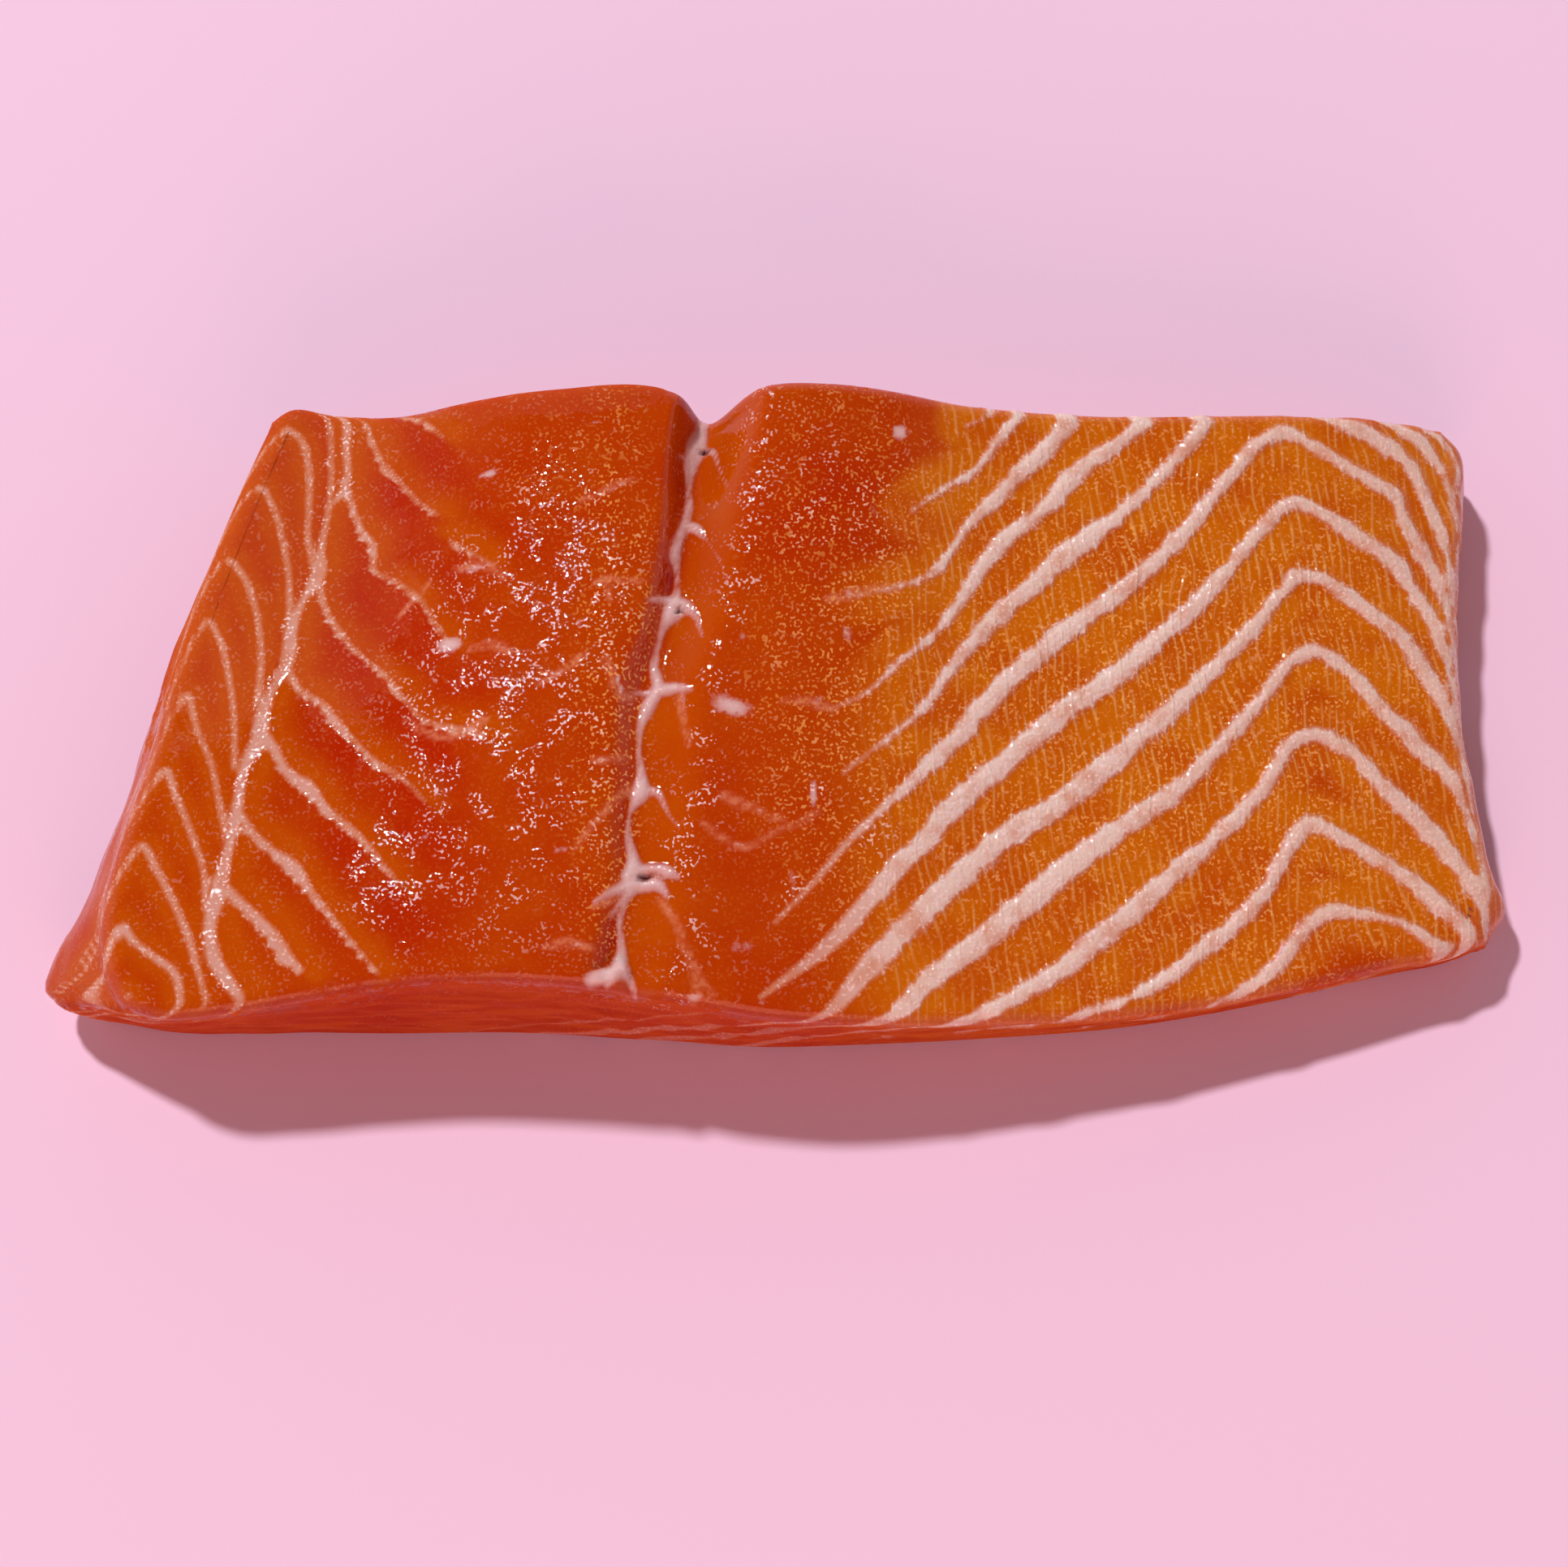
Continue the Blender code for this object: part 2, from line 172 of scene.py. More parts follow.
# %% Back hooks, the thick line that they meet, and the veins that leave it
BACK_HOOKS = [
    [(-61.5, 26, .5), (-59.2, 29.8, .7), (-57.4, 32, .8), (-55.6, 32.8, .8), (-54.2, 31.8, .8),
     (-53, 28, .8), (-52.8, 23.5, .7), (-52.7, 19.5, .7), (-51.8, 16, .9)],
    [(-65, 15, .4), (-63.5, 18.5, .5), (-61.5, 23.2, .6), (-60, 25.3, .7), (-58.6, 26, .7),
     (-57, 23.8, .7), (-55.6, 19.5, .7), (-54.7, 15, .7), (-54.4, 10, .9)],
    [(-68, 5, .4), (-66, 10.5, .5), (-64, 15, .6), (-61.8, 17.4, .7), (-60.2, 15.8, .8),
     (-58.3, 11.5, .7), (-57.5, 7, .7), (-57.5, 0, .9)],
    [(-70, -4, .4), (-67, 3.5, .5), (-65, 8.3, .6), (-63.6, 10.2, .7), (-62.2, 8, .7),
     (-61, 4, .7), (-60.1, -1, .7), (-59.8, -7, .7)],
    [(-72, -12, .4), (-69, -5, .5), (-67, -.5, .6), (-65.7, 1.5, .8), (-64.2, -2.5, .7),
     (-62.4, -6.5, .7), (-61.3, -11, .7), (-60.4, -14.5, .8)],
    [(-75, -20, .5), (-72, -13, .6), (-69, -8.8, .8), (-67.6, -7.2, 1.0), (-66.2, -10, .8),
     (-64, -15, .8), (-62.6, -19, .7), (-62.2, -23, .8)],
    [(-77, -28, .6), (-75, -23, .7), (-71.5, -17.8, .9), (-69.7, -15.8, 1.0), (-67.8, -18.6, .9),
     (-65.6, -22.6, .9), (-64.1, -25.8, .9), (-63, -29.2, .8), (-61.6, -33.5, .6)],
    [(-75.6, -34, .8), (-74.4, -30, 1.0), (-73, -27, 1.1), (-71.4, -25, 1.5), (-70, -26.4, .9),
     (-67.8, -28.1, .9), (-65.4, -30, 1.0), (-64.6, -33, .9), (-64.9, -36, .7)],
    [(-72.4, -34, 1.4), (-71.2, -32.8, 1.8), (-70.2, -32.6, 1.2)],
]
BACK_LINE = [
    [(-51, 35.5, .7), (-50.5, 29, .6), (-50.5, 24, .7), (-51.2, 18.5, .9), (-51.5, 15.2, 1.8),
     (-52.8, 12.8, .9), (-54.2, 9, 1.5), (-54.4, 5.6, 1.6), (-55.9, 2.2, .9), (-56.9, -.5, 1.6),
     (-57.1, -3.2, 1.9), (-58.7, -7, 1.2), (-59.3, -12, 1.3), (-60.3, -17.5, 1.3),
     (-60.9, -20.8, 2.0), (-61.7, -24.5, 1.5), (-61, -28.7, 1.7), (-59.2, -31.4, 1.5),
     (-57, -34, .6)],
    [(-48.8, 35.5, 1.1), (-48.8, 30, .9), (-48.7, 26, .8), (-50.3, 23.6, .4)],
]
LOIN_VEINS = [
    [(-47, 34.8, .5), (-46, 31.5, .5), (-44.4, 28, .6), (-42.4, 25.6, .5), (-40, 22.8, .4),
     (-38, 21.2, .3)],
    [(-42, 34, .3), (-39.5, 32.2, .4), (-37.5, 30.2, .2)],
    [(-48.8, 26.5, .8), (-47.6, 22.5, .7), (-46.5, 20, .8), (-45.4, 18.6, .9), (-45, 15.6, .5),
     (-42, 13.5, .4), (-39.8, 11.6, .5), (-38.2, 9, .4), (-36.4, 6.4, .3)],
    [(-36.5, 18, .2), (-34.5, 16.6, .3), (-32.5, 15.3, .2)],
    [(-51.2, 14, .9), (-50.6, 11.6, .7), (-49, 8.8, .8), (-46.5, 5.8, .4), (-43.4, 3, .5),
     (-41.3, .4, .4), (-39, -2.3, .4), (-35, -3.8, .7), (-32, -4.6, .3)],
    [(-54.6, 4.6, 1.0), (-52.8, 1.7, .7), (-50.5, .2, .8), (-48.6, -2.3, 1.1), (-46.2, -4.8, .6),
     (-43.8, -7.2, .7), (-41.4, -8.6, .4), (-38.5, -11.6, .3)],
    [(-57, -3, 1.5), (-55.5, -5, 1.2), (-54, -7.6, 1.2), (-51.6, -9.4, 1.6), (-49.2, -12.2, .8),
     (-46.4, -14.6, .9), (-43.6, -17.6, .5), (-41.4, -20.4, .3)],
    [(-59.3, -12, 1.2), (-57.6, -14.4, 1.0), (-55.2, -16.6, 1.0), (-52.8, -18.6, 1.7),
     (-51, -21, .9), (-48.4, -24.2, .7), (-46, -27.2, .5), (-43, -30.6, .3)],
    [(-60.8, -20.3, 1.6), (-58.6, -22.2, 1.1), (-56.4, -24.4, 1.4), (-54.6, -26.2, 1.3),
     (-53.2, -28.4, 1.5), (-51.5, -30, .5)],
]
print(len(BACK_HOOKS) + len(BACK_LINE), "back lines,", len(LOIN_VEINS), "loin veins")

# %% [markdown]
# ## The seam
#
# Where the upper and the lower muscle meet there is a groove. White tissue lies in it, pulled
# into strands that knot round the holes that the pin bones leave. The strands are curves again,
# and widen where they knot. Each bone hole, and each faint patch of tissue on the flesh on both
# sides, is a small ellipse, because it has no course to follow. Faint wisps between them are curves.

# %% Course of the seam
SEAM = [(-7.9, 33.2), (-8.9, 27.9), (-9.7, 20.2), (-10.3, 15.4), (-11.5, 9.7), (-12.6, 5.0),
        (-14.3, 0.4), (-15.0, -4.3), (-15.0, -9.8), (-15.6, -16.2), (-15.4, -20.7),
        (-16.8, -27.0), (-18.9, -35.0)]
SEAM_DEPTH_STATIONS = [-36, -14, 4, 20, 34]
SEAM_DEPTH = [1.6, 1.4, 2.3, 3.1, 7.8]
SEAM_SHARPNESS = 1.25
STEEP_BANK = 3.8
GENTLE_BANK = 8.0
print("seam, points:", len(SEAM))

# %% Strands of tissue and bone holes
STRANDS = [
    [(-8.2, 35.5, 1.1), (-8.7, 31.8, 1.3), (-9.3, 29, 2.0), (-9.9, 26.6, 1.4), (-10.1, 24.2, .6),
     (-10, 21.8, .8), (-10.4, 19.6, .9), (-11.2, 17.2, .9), (-11.5, 15.6, 1.2), (-11.3, 14, .6),
     (-11.3, 11.6, .8), (-11.6, 9.8, 2.4), (-12.6, 8, 1.0), (-13.3, 5.6, .5), (-13.7, 3.2, 1.0),
     (-13.3, .8, 1.5), (-14.2, -1, 1.6), (-15.1, -3.4, .9), (-15.3, -6, .5), (-15, -9, 1.2),
     (-15, -10.6, 2.0), (-16.2, -13.2, .4), (-16.3, -16, .8), (-15.8, -18.4, 1.5),
     (-15.7, -20.4, 3.0), (-16.4, -22.2, 1.1), (-17.2, -25, .6), (-17, -28, 1.0), (-17.4, -30.4, 2.0),
     (-18.4, -32, .6)],
    [(-9.3, 28.8, 1.0), (-7.6, 28.6, .8), (-6.8, 26.5, .3), (-5.8, 23.5, .2)],
    [(-11, 27.2, .3), (-10, 27, .7)],
    [(-10.4, 19.4, .8), (-9.3, 19, 1.3), (-8.4, 18, .5), (-6.6, 15, .2)],
    [(-14.4, 10.2, .3), (-12.8, 10.6, .9), (-10.6, 10.2, 1.6), (-9.6, 9.4, 1.0), (-8.4, 6.4, .3)],
    [(-16, .2, .3), (-14.5, .3, .7), (-12, .6, 1.5), (-10.6, .6, 1.0), (-9.6, .4, .5)],
    [(-10.6, .6, .4), (-10.3, -2.4, .2)],
    [(-14.6, -10.4, 1.0), (-13.2, -11, .8), (-12.2, -13, .4), (-10.8, -15, .2)],
    [(-15.4, -10.4, .8), (-16, -11.6, .5)],
    [(-15.4, -19.6, 1.5), (-13.6, -19.2, 1.0), (-12, -19.7, 1.4), (-10.9, -20.3, .5)],
    [(-15, -21, 1.7), (-13.2, -21, 1.5), (-12, -22.4, .5)],
    [(-16, -21, 1.6), (-18, -22, .9), (-19.8, -23.2, .5)],
    [(-16.4, -22, .8), (-18.2, -24.6, .3)],
    [(-17, -30.4, 1.6), (-16, -31.4, .9), (-15.4, -33.6, .3)],
]
FAT_LOBE = [(-16.8, -30.4, 1.6), (-18.4, -30.9, 1.9), (-20.2, -31.4, 1.5)]
BONE_HOLES = [(-8.3, 28.7, .55, .36), (-11.0, 9.6, .34, .34), (-14.6, -20.2, .85, .34)]
print(len(STRANDS), "strands,", len(BONE_HOLES), "bone holes")

# %% Patches and wisps of tissue
PATCHES = [(-36.2, 5.9, 1.6, .9, 5, 1.0), (-33.4, 14.5, 2.4, .7, 12, 0.5),
           (-32.2, 25.2, 1.5, .5, 10, 0.8), (-33.6, -4.0, 1.7, .5, -12, 0.5),
           (-30.6, 5.4, 1.6, .4, -18, 0.5), (-23.4, -17.4, 1.6, .5, 15, 0.5),
           (-24, 1.8, 2.2, .3, 40, 0.5), (-17.4, .8, .3, 2.0, 15, 0.8),
           (-17.8, 22.8, 2.4, .35, 20, 0.5), (-18.6, -7.6, 1.6, .4, 5, 0.5),
           (-22.5, -27.9, 2.6, .4, 10, 0.5), (-5.2, -1.6, 2.4, 1.1, -20, 0.9),
           (13.4, 30.0, 1.1, .9, 0, 0.9), (7.6, 11, 1.4, .7, 0, 0.5), (4.4, -.8, 1.1, .8, 0, 0.5),
           (3.7, -11.2, .5, 1.8, 0, 0.8), (1.5, -20.6, .4, 1.6, 8, 0.5),
           (-4.0, -27.6, 1.7, .8, 10, 0.5), (7.4, 6.8, .7, 2.0, 8, 0.5), (10.2, 21.2, .5, 1.1, 10, 0.5),
           (-4.0, 6.2, .5, .5, 0, 0.5), (-3.0, -12.6, 3.0, .22, -18, 0.5),
           (-3.6, -16.6, 3.4, .2, 4, 0.5), (-6.2, 14, .4, 2.4, 25, 0.5),
           (2.5, -31.6, 2.2, .25, 30, 0.5), (-1.9, -33.6, .6, .5, 0, 0.5),
           (-9.2, -33.2, 1.0, .5, 0, 0.8), (-38.6, -15.8, 1.0, .5, 40, 0.5),
           (-27.6, 24.6, 1.6, .2, 10, 0.5), (-20.6, 30.2, 1.4, .2, 5, 0.5)]
WISPS = [
    [(-18.9, 3.4, .6), (-18.4, 1.8, .4), (-18, .4, .3), (-17.2, -.5, .5), (-16.2, -.3, .5)],
    [(-20.2, 12.0, .2), (-18.6, 12.5, .4), (-17, 12.2, .3), (-15.2, 12.3, .4)],
    [(-18.9, 12.2, .2), (-18.5, 10.2, .3)],
    [(-21.8, 21.4, .2), (-20, 22, .3), (-18.2, 23, .4), (-16.2, 23.5, .3)],
    [(-10.9, -.2, .4), (-10.5, -3, .3), (-9.8, -5.8, .2)],
    [(-6, -11.4, .5), (-4.8, -12, .9), (-3, -12.6, .4), (-1, -13.6, .3), (.4, -13.9, .2)],
    [(-8.2, -14.4, .2), (-6.5, -15.8, .4), (-5, -16.6, .3), (-3.4, -16.9, .4), (-2, -16.2, .3),
     (0, -15, .3), (2, -14.3, .4), (4, -13, .5)],
    [(-12.8, -22.8, .4), (-11.2, -25, .4), (-10.4, -27.2, .4), (-9.4, -29.6, .6), (-8.7, -31.6, .9),
     (-9.6, -34.6, .4)],
    [(-8.9, -31.4, .6), (-7, -32.8, .3)],
    [(-22, -17.2, .2), (-19.6, -14.2, .4), (-17.6, -11.8, .5), (-16.2, -10.4, .6)],
    [(-20.2, -7.8, .3), (-18, -7.6, .6), (-16.6, -7.1, .2)],
    [(-19.8, -23.6, .4), (-18.2, -22.4, 1.3), (-17, -21.4, 1.2)],
    [(-35.8, 14.6, .3), (-33.6, 14.8, .8), (-31.6, 14.4, .5), (-30.4, 13, .3)],
    [(-33.9, 5.2, .3), (-31.2, 5.5, .8), (-29.2, 4.4, .3)],
    [(-40.8, -2.2, .2), (-38.5, -4, .4), (-36, -4.4, .9), (-33.6, -3.9, 1.0), (-31.8, -2.8, .3)],
    [(-26, .8, .2), (-23.6, 2.2, .4), (-21.8, 3.6, .5)],
    [(-25.2, -28, .2), (-22.6, -27.6, .9), (-20.2, -28.2, .3)],
    [(-42, 9.8, .2), (-40.4, 11.6, .3), (-38.8, 13.2, .2)],
    [(5.2, 10.5, .4), (7.6, 11, 1.0), (9.6, 11.7, .5), (12, 12.4, .4)],
    [(.2, -1, .3), (3, -1, .5), (6, -1.7, .4)],
]
print(len(PATCHES), "patches,", len(WISPS), "wisps")

# %% [markdown]
# To know what is under a point of the surface, the lesson measures how deep that point lies
# inside the nearest curve's width: above 0 is fat, below 0 is flesh, and the number is a distance
# in millimetres. A search tree over points along each curve makes this quick. The same numbers
# later drive the colours, because a distance blends smoothly between the vertices of a mesh and
# can then be cut off sharply in the material.

# %% Depth inside a set of curves
REACH = 5.0
CURVE_STEP = 0.25
SIDE_SOFTNESS = 0.3
SIDE_SHARPNESS = 1.2


def nearest(curve, x, y):
    """For the points within reach of a curve: their numbers, their depth in mm inside its width,
    their side of it, from -1 right of the way that it runs to 1 left of it, and how far along it
    they are in mm."""
    length = np.hypot(*np.diff(np.array(curve)[:, :2], axis=0).T).sum()
    fine = along(curve, np.linspace(0, 1, int(length / CURVE_STEP) + 2))
    run = np.linspace(0, length, len(fine))
    ahead = np.gradient(fine[:, :2], axis=0)
    ahead /= np.linalg.norm(ahead, axis=1, keepdims=True)
    tree = KDTree(len(fine))
    for i, (a, b, _) in enumerate(fine):
        tree.insert((a, b, 0), i)
    tree.balance()
    low, high = fine[:, :2].min(0) - REACH, fine[:, :2].max(0) + REACH
    near = np.flatnonzero((x > low[0]) & (x < high[0]) & (y > low[1]) & (y < high[1]))
    found = [tree.find((x[k], y[k], 0))[1:] for k in near]
    i = np.array([item[0] for item in found], int)
    distance = np.array([item[1] for item in found])
    away = np.stack([x[near], y[near]], -1) - fine[i, :2]
    side = (ahead[i, 0] * away[:, 1] - ahead[i, 1] * away[:, 0]) / (distance + SIDE_SOFTNESS)
    return near, fine[i, 2] / 2 - distance, side, run[i] + (ahead[i] * away).sum(1)


def depth_inside(curves, x, y):
    """Depth in mm inside the curves' widths for each point, or the distance outside as a negative."""
    best = np.full(x.shape, -REACH)
    for curve in curves:
        near, depth, *_ = nearest(curve, x, y)
        best[near] = np.maximum(best[near], depth)
    return best


def beside(curves, x, y, width, left):
    """How close each point lies beside the curves, from 0 at the width given to 1 at the curve, on
    the left of the way that they run or on the right of it."""
    best = np.zeros(x.shape)
    for curve in curves:
        near, depth, side, _ = nearest(curve, x, y)
        wanted = ease(0.5 + side * (SIDE_SHARPNESS if left else -SIDE_SHARPNESS))
        best[near] = np.maximum(best[near], ease(1 + depth / width) * wanted)
    return best


def run_along(curves, x, y):
    """How far along the nearest of the curves each point is, in mm."""
    best, found = np.full(x.shape, -REACH), np.zeros(x.shape)
    for curve in curves:
        near, depth, _, run = nearest(curve, x, y)
        better = depth > best[near]
        best[near[better]] = depth[better]
        found[near[better]] = run[better]
    return found


def patch_cover(x, y):
    """How strongly the faint patches cover each point, from 0 to 1."""
    cover = np.zeros(x.shape)
    for a, b, half_length, half_width, angle, strength in PATCHES:
        turn = math.radians(angle)
        u = (x - a) * math.cos(turn) + (y - b) * math.sin(turn)
        v = (y - b) * math.cos(turn) - (x - a) * math.sin(turn)
        here = strength * np.exp(-(u / half_length) ** 2 - (v / half_width) ** 2)
        cover = np.maximum(cover, here)
    return cover


print("fat at the middle of a band, mm:",
      depth_inside(BELLY_BANDS, np.array([31.5]), np.array([-.3])).round(2))

# %% [markdown]
# ## The upper surface
#
# The height of the flesh is a sum of parts: the two cut curves, a slight crown, lumps, the groove
# of the seam, and now the fine relief that the solid model leaves out. Fat stands a little proud
# of the flesh on the belly, the strands bridge the bottom of the groove, and the bone holes sink.

# %% Height of the flesh
BELLY_START = 2.0
BELLY_FULL = 26.0
BAND_RELIEF = 0.42
BAND_SHOULDER = 1.3
BAND_SPILL = 0.3
BAND_SETTLE = 0.4
VEIN_SINK = 0.06
VEIN_SHOULDER = 0.4
STRAND_RELIEF = 0.6
STRAND_SHOULDER = 1.1
LOBE_RELIEF = 1.3
HOLE_DEPTH = 1.0
SMALL_LUMPS = [(0.025, 3.2, 21.3), (0.015, 1.3, 4.4)]


def seam_x(y):
    """Where the seam lies across the fillet, for a place between the two cuts."""
    path = np.array(SEAM[::-1], float)
    return through(path[:, 1], path[:, 0], y)


def groove(x, y):
    """Depth of the seam's groove, with one steep and one gentle bank."""
    across = x - seam_x(y)
    bank = np.where(across < 0, STEEP_BANK, GENTLE_BANK)
    depth = through(SEAM_DEPTH_STATIONS, SEAM_DEPTH, y)
    return depth * (1 - ease(np.abs(across) / bank)) ** SEAM_SHARPNESS


def flesh_height(x, y):
    """Height of the plain flesh above the table, in the drawing's frame."""
    share = np.clip((y + HALF_WIDTH) / (2 * HALF_WIDTH), 0, 1)
    between = (1 - share) * through(STATIONS, NEAR_HEIGHT, x) + share * through(STATIONS, FAR_HEIGHT, x)
    crown = CROWN * np.sin(math.pi * share)
    lumps = sum(height * ripple(x, y, 0, size, seed) for height, size, seed in LUMPS)
    return between + crown + lumps - groove(x, y)


def hole_cover(x, y):
    """How deep in a bone hole each point is, from 0 to 1."""
    cover = np.zeros(x.shape)
    for a, b, half_length, half_width in BONE_HOLES:
        cover += np.exp(-(((x - a) / half_length) ** 2 + ((y - b) / half_width) ** 2) ** 2)
    return cover


def fine_relief(x, y):
    """What fat, tissue and small lumps add to the height, at places measured from PATTERN_MIDDLE."""
    belly = ease((x - BELLY_START) / (BELLY_FULL - BELLY_START))
    raised = ease(depth_inside(BELLY_BANDS, x, y) / BAND_SHOULDER + BAND_SPILL)
    bands = BAND_RELIEF * (raised - BAND_SETTLE) * belly
    veins = VEIN_SINK * ease(depth_inside(BACK_LINE + LOIN_VEINS, x, y) / VEIN_SHOULDER + 0.5)
    strands = STRAND_RELIEF * ease(depth_inside(STRANDS, x, y) / STRAND_SHOULDER + 0.15)
    lobe = LOBE_RELIEF * np.sqrt(np.clip(depth_inside([FAT_LOBE], x, y) + 0.1, 0, 1))
    small = sum(height * ripple(x, y, 0, size, seed) for height, size, seed in SMALL_LUMPS)
    return bands - veins + strands + lobe + small - HOLE_DEPTH * hole_cover(x, y)


print("height at the middle, mm:", flesh_height(np.zeros(1), np.zeros(1)).round(1))

# %% [markdown]
# ## The fine mesh
#
# The upper surface starts as a flat grid whose cells are about half a millimetre wide. Its edge
# follows the outline, and the inside is blended between the four sides, so the rows of the mesh
# run with the cuts. The walls are then extruded from the edge ring by ring: over the rounded rim,
# down the cut, and in under the foot. Extruding a ring keeps the whole skin in one closed piece.

# %% Edges of the fillet
CUT_RIM_RADIUS = 1.8
EDGE_RIM_RADIUS = 3.2
FOOT_RADIUS = 1.6
LEAN_STATIONS = [-36, -31, -27, -22, -14, -4, 10, 24, 36]
LEAN_BACK = [9.0, 8.6, 6.6, 4.2, 3.2, 3.0, 2.4, 1.2, 0.6]
LEAN_BELLY = 0.6
LEAN_TURN = 0.8
LEAN_NEAR_STATIONS = [-78, -66, -55, -42, -29, -19, -8, 8, 30, 80]
LEAN_NEAR_CUT = [-1.7, -1.7, -0.6, 1.3, 1.5, 1.2, 0.2, -0.9, -1.1, -0.8]
COLUMNS = 360
ROWS = 158
RIM_STEPS = 6
WALL_STEPS = 28
FOOT_STEPS = 3


def outline(columns, rows):
    """The closed outline, counter-clockwise from the near corner of the back edge: each point's
    place, its outward direction, the lean of the wall below it, and its rim's radius."""
    near, far = along(NEAR_CUT, columns), along(FAR_CUT, columns)
    back, belly = along(BACK_EDGE, rows), along(BELLY_EDGE, rows)
    loop = np.concatenate([near[:-1], belly[:-1], far[:0:-1], back[:0:-1]])
    tangent = np.roll(loop, -3, axis=0) - np.roll(loop, 3, axis=0)
    outward = np.stack([tangent[:, 1], -tangent[:, 0]], -1)
    outward /= np.linalg.norm(outward, axis=1, keepdims=True)
    to_back, to_belly = np.clip(-outward[:, 0], 0, 1), np.clip(outward[:, 0], 0, 1) ** 2
    to_near = np.clip(-outward[:, 1], 0, 1) ** 2
    lean = np.stack([to_belly * LEAN_BELLY - to_back * through(LEAN_STATIONS, LEAN_BACK, loop[:, 1]),
                     -to_near * through(LEAN_NEAR_STATIONS, LEAN_NEAR_CUT, loop[:, 0])], -1)
    radius = CUT_RIM_RADIUS + (EDGE_RIM_RADIUS - CUT_RIM_RADIUS) * outward[:, 0] ** 2
    return loop, outward, lean, radius


def grid_places(loop, columns, rows):
    """Places of the upper surface's grid, blended between the four sides of its outline."""
    n, m = len(columns) - 1, len(rows) - 1
    near, belly = loop[:n + 1], loop[n:n + m + 1]
    far = loop[n + m:2 * n + m + 1][::-1]
    back = np.concatenate([loop[:1], loop[2 * n + m:][::-1]])
    u, v = columns[:, None, None], rows[None, :, None]
    corners = ((1 - u) * (1 - v) * near[0] + u * (1 - v) * near[-1]
               + (1 - u) * v * far[0] + u * v * far[-1])
    return ((1 - v) * near[:, None] + v * far[:, None]
            + (1 - u) * back[None, :] + u * belly[None, :] - corners)


columns, rows = np.linspace(0, 1, COLUMNS + 1), np.linspace(0, 1, ROWS + 1)
rim, outward, lean, radius = outline(columns, rows)
inner = rim - outward * radius[:, None]
print("outline, points:", len(rim))

# %% Upper surface
bm = bmesh.new()
bmesh.ops.create_grid(bm, x_segments=COLUMNS, y_segments=ROWS, size=0.5)
ordered = sorted(bm.verts, key=lambda v: (round(v.co.x * COLUMNS), round(v.co.y * ROWS)))
grid = np.array(ordered, dtype=object).reshape(COLUMNS + 1, ROWS + 1)


def move(verts, x, y, z):
    """Moves vertices to places given in millimetres in the drawing's frame."""
    for vert, a, b, c in zip(verts, x - DRAWN_MIDDLE[0], y - DRAWN_MIDDLE[1], z):
        vert.co = Vector((a, b, c)) * MM


places = grid_places(inner, columns, rows).reshape(-1, 2)
plain = flesh_height(*places.T)
relief = fine_relief(*(places - PATTERN_MIDDLE).T)
move(grid.ravel(), *places.T, plain + relief)
print("upper surface:", len(bm.verts), "vertices")

# %% [markdown]
# ## The cut faces
#
# A knife leaves a cut that is flat as a whole, with fine ledges where the flakes of muscle part.
# The ledges lie nearly level, so they come from noise that is long along the cut and short in
# height. The natural edges at the back and the belly get much less of it. The walls also lean:
# the back edge overhangs at its foot, and the near cut slants outward in its middle.

# %% Walls, ring by ring
LEDGES = [(0.5, 9.0, 1.5, 5.3), (0.22, 4.0, 0.7, 9.1)]
EDGE_LEDGE_SHARE = 0.45
NUB_CENTRE = (80.2, -20.6, 5.5)
NUB_RADIUS = 2.4
NUB_HEIGHT = 1.3
SOLE_INSET = 0.8


def wall_ring(arc, down, foot):
    """Places of one ring of the wall: arc over the rim, down the cut, in under the foot."""
    turn, tuck = arc * math.pi / 2, foot * math.pi / 2
    out = radius * math.sin(turn) - FOOT_RADIUS * (1 - math.cos(tuck))
    low = wall_top - radius * (1 - math.cos(turn))
    z = low + down * (FOOT_RADIUS - low) - FOOT_RADIUS * math.sin(tuck) * (down == 1)
    bulge = [math.sin(LEAN_TURN * down * math.pi), math.sin(down * math.pi / 2)]
    flesh = inner + outward * out[:, None] + lean * bulge
    ledge = sum(height * ripple(flesh[:, 0] / length, flesh[:, 1] / length, z / thick, 1, seed)
                for height, length, thick, seed in LEDGES)
    cut_share = EDGE_LEDGE_SHARE + (1 - EDGE_LEDGE_SHARE) * np.abs(outward[:, 1])
    shift = ledge * cut_share * math.sin(down * math.pi) ** 0.5
    nub = np.exp(-((flesh[:, 0] - NUB_CENTRE[0]) ** 2 + (flesh[:, 1] - NUB_CENTRE[1]) ** 2
                   + (z - NUB_CENTRE[2]) ** 2) / NUB_RADIUS ** 2)
    flesh = flesh + outward * (shift + NUB_HEIGHT * nub)[:, None]
    return flesh[:, 0], flesh[:, 1], z


edge = [*grid[:-1, 0], *grid[-1, :-1], *grid[:0:-1, -1], *grid[0, :0:-1]]
wall_top = np.array([v.co.z / MM for v in edge])
steps = [(k / RIM_STEPS, 0.0, 0.0) for k in range(1, RIM_STEPS + 1)]
steps += [(1.0, k / WALL_STEPS, 0.0) for k in range(1, WALL_STEPS + 1)]
steps += [(1.0, 1.0, k / FOOT_STEPS) for k in range(1, FOOT_STEPS + 1)]
rings = [edge]


def extrude_ring(loop):
    """Extrudes a closed ring of vertices and returns the new ring in the same order."""
    edges = [bm.edges.get((a, b)) for a, b in zip(loop, loop[1:] + loop[:1])]
    made = bmesh.ops.extrude_edge_only(bm, edges=edges)["geom"]
    fresh = {v for v in made if isinstance(v, bmesh.types.BMVert)}
    return [next(e.other_vert(v) for e in v.link_edges if e.other_vert(v) in fresh) for v in loop]


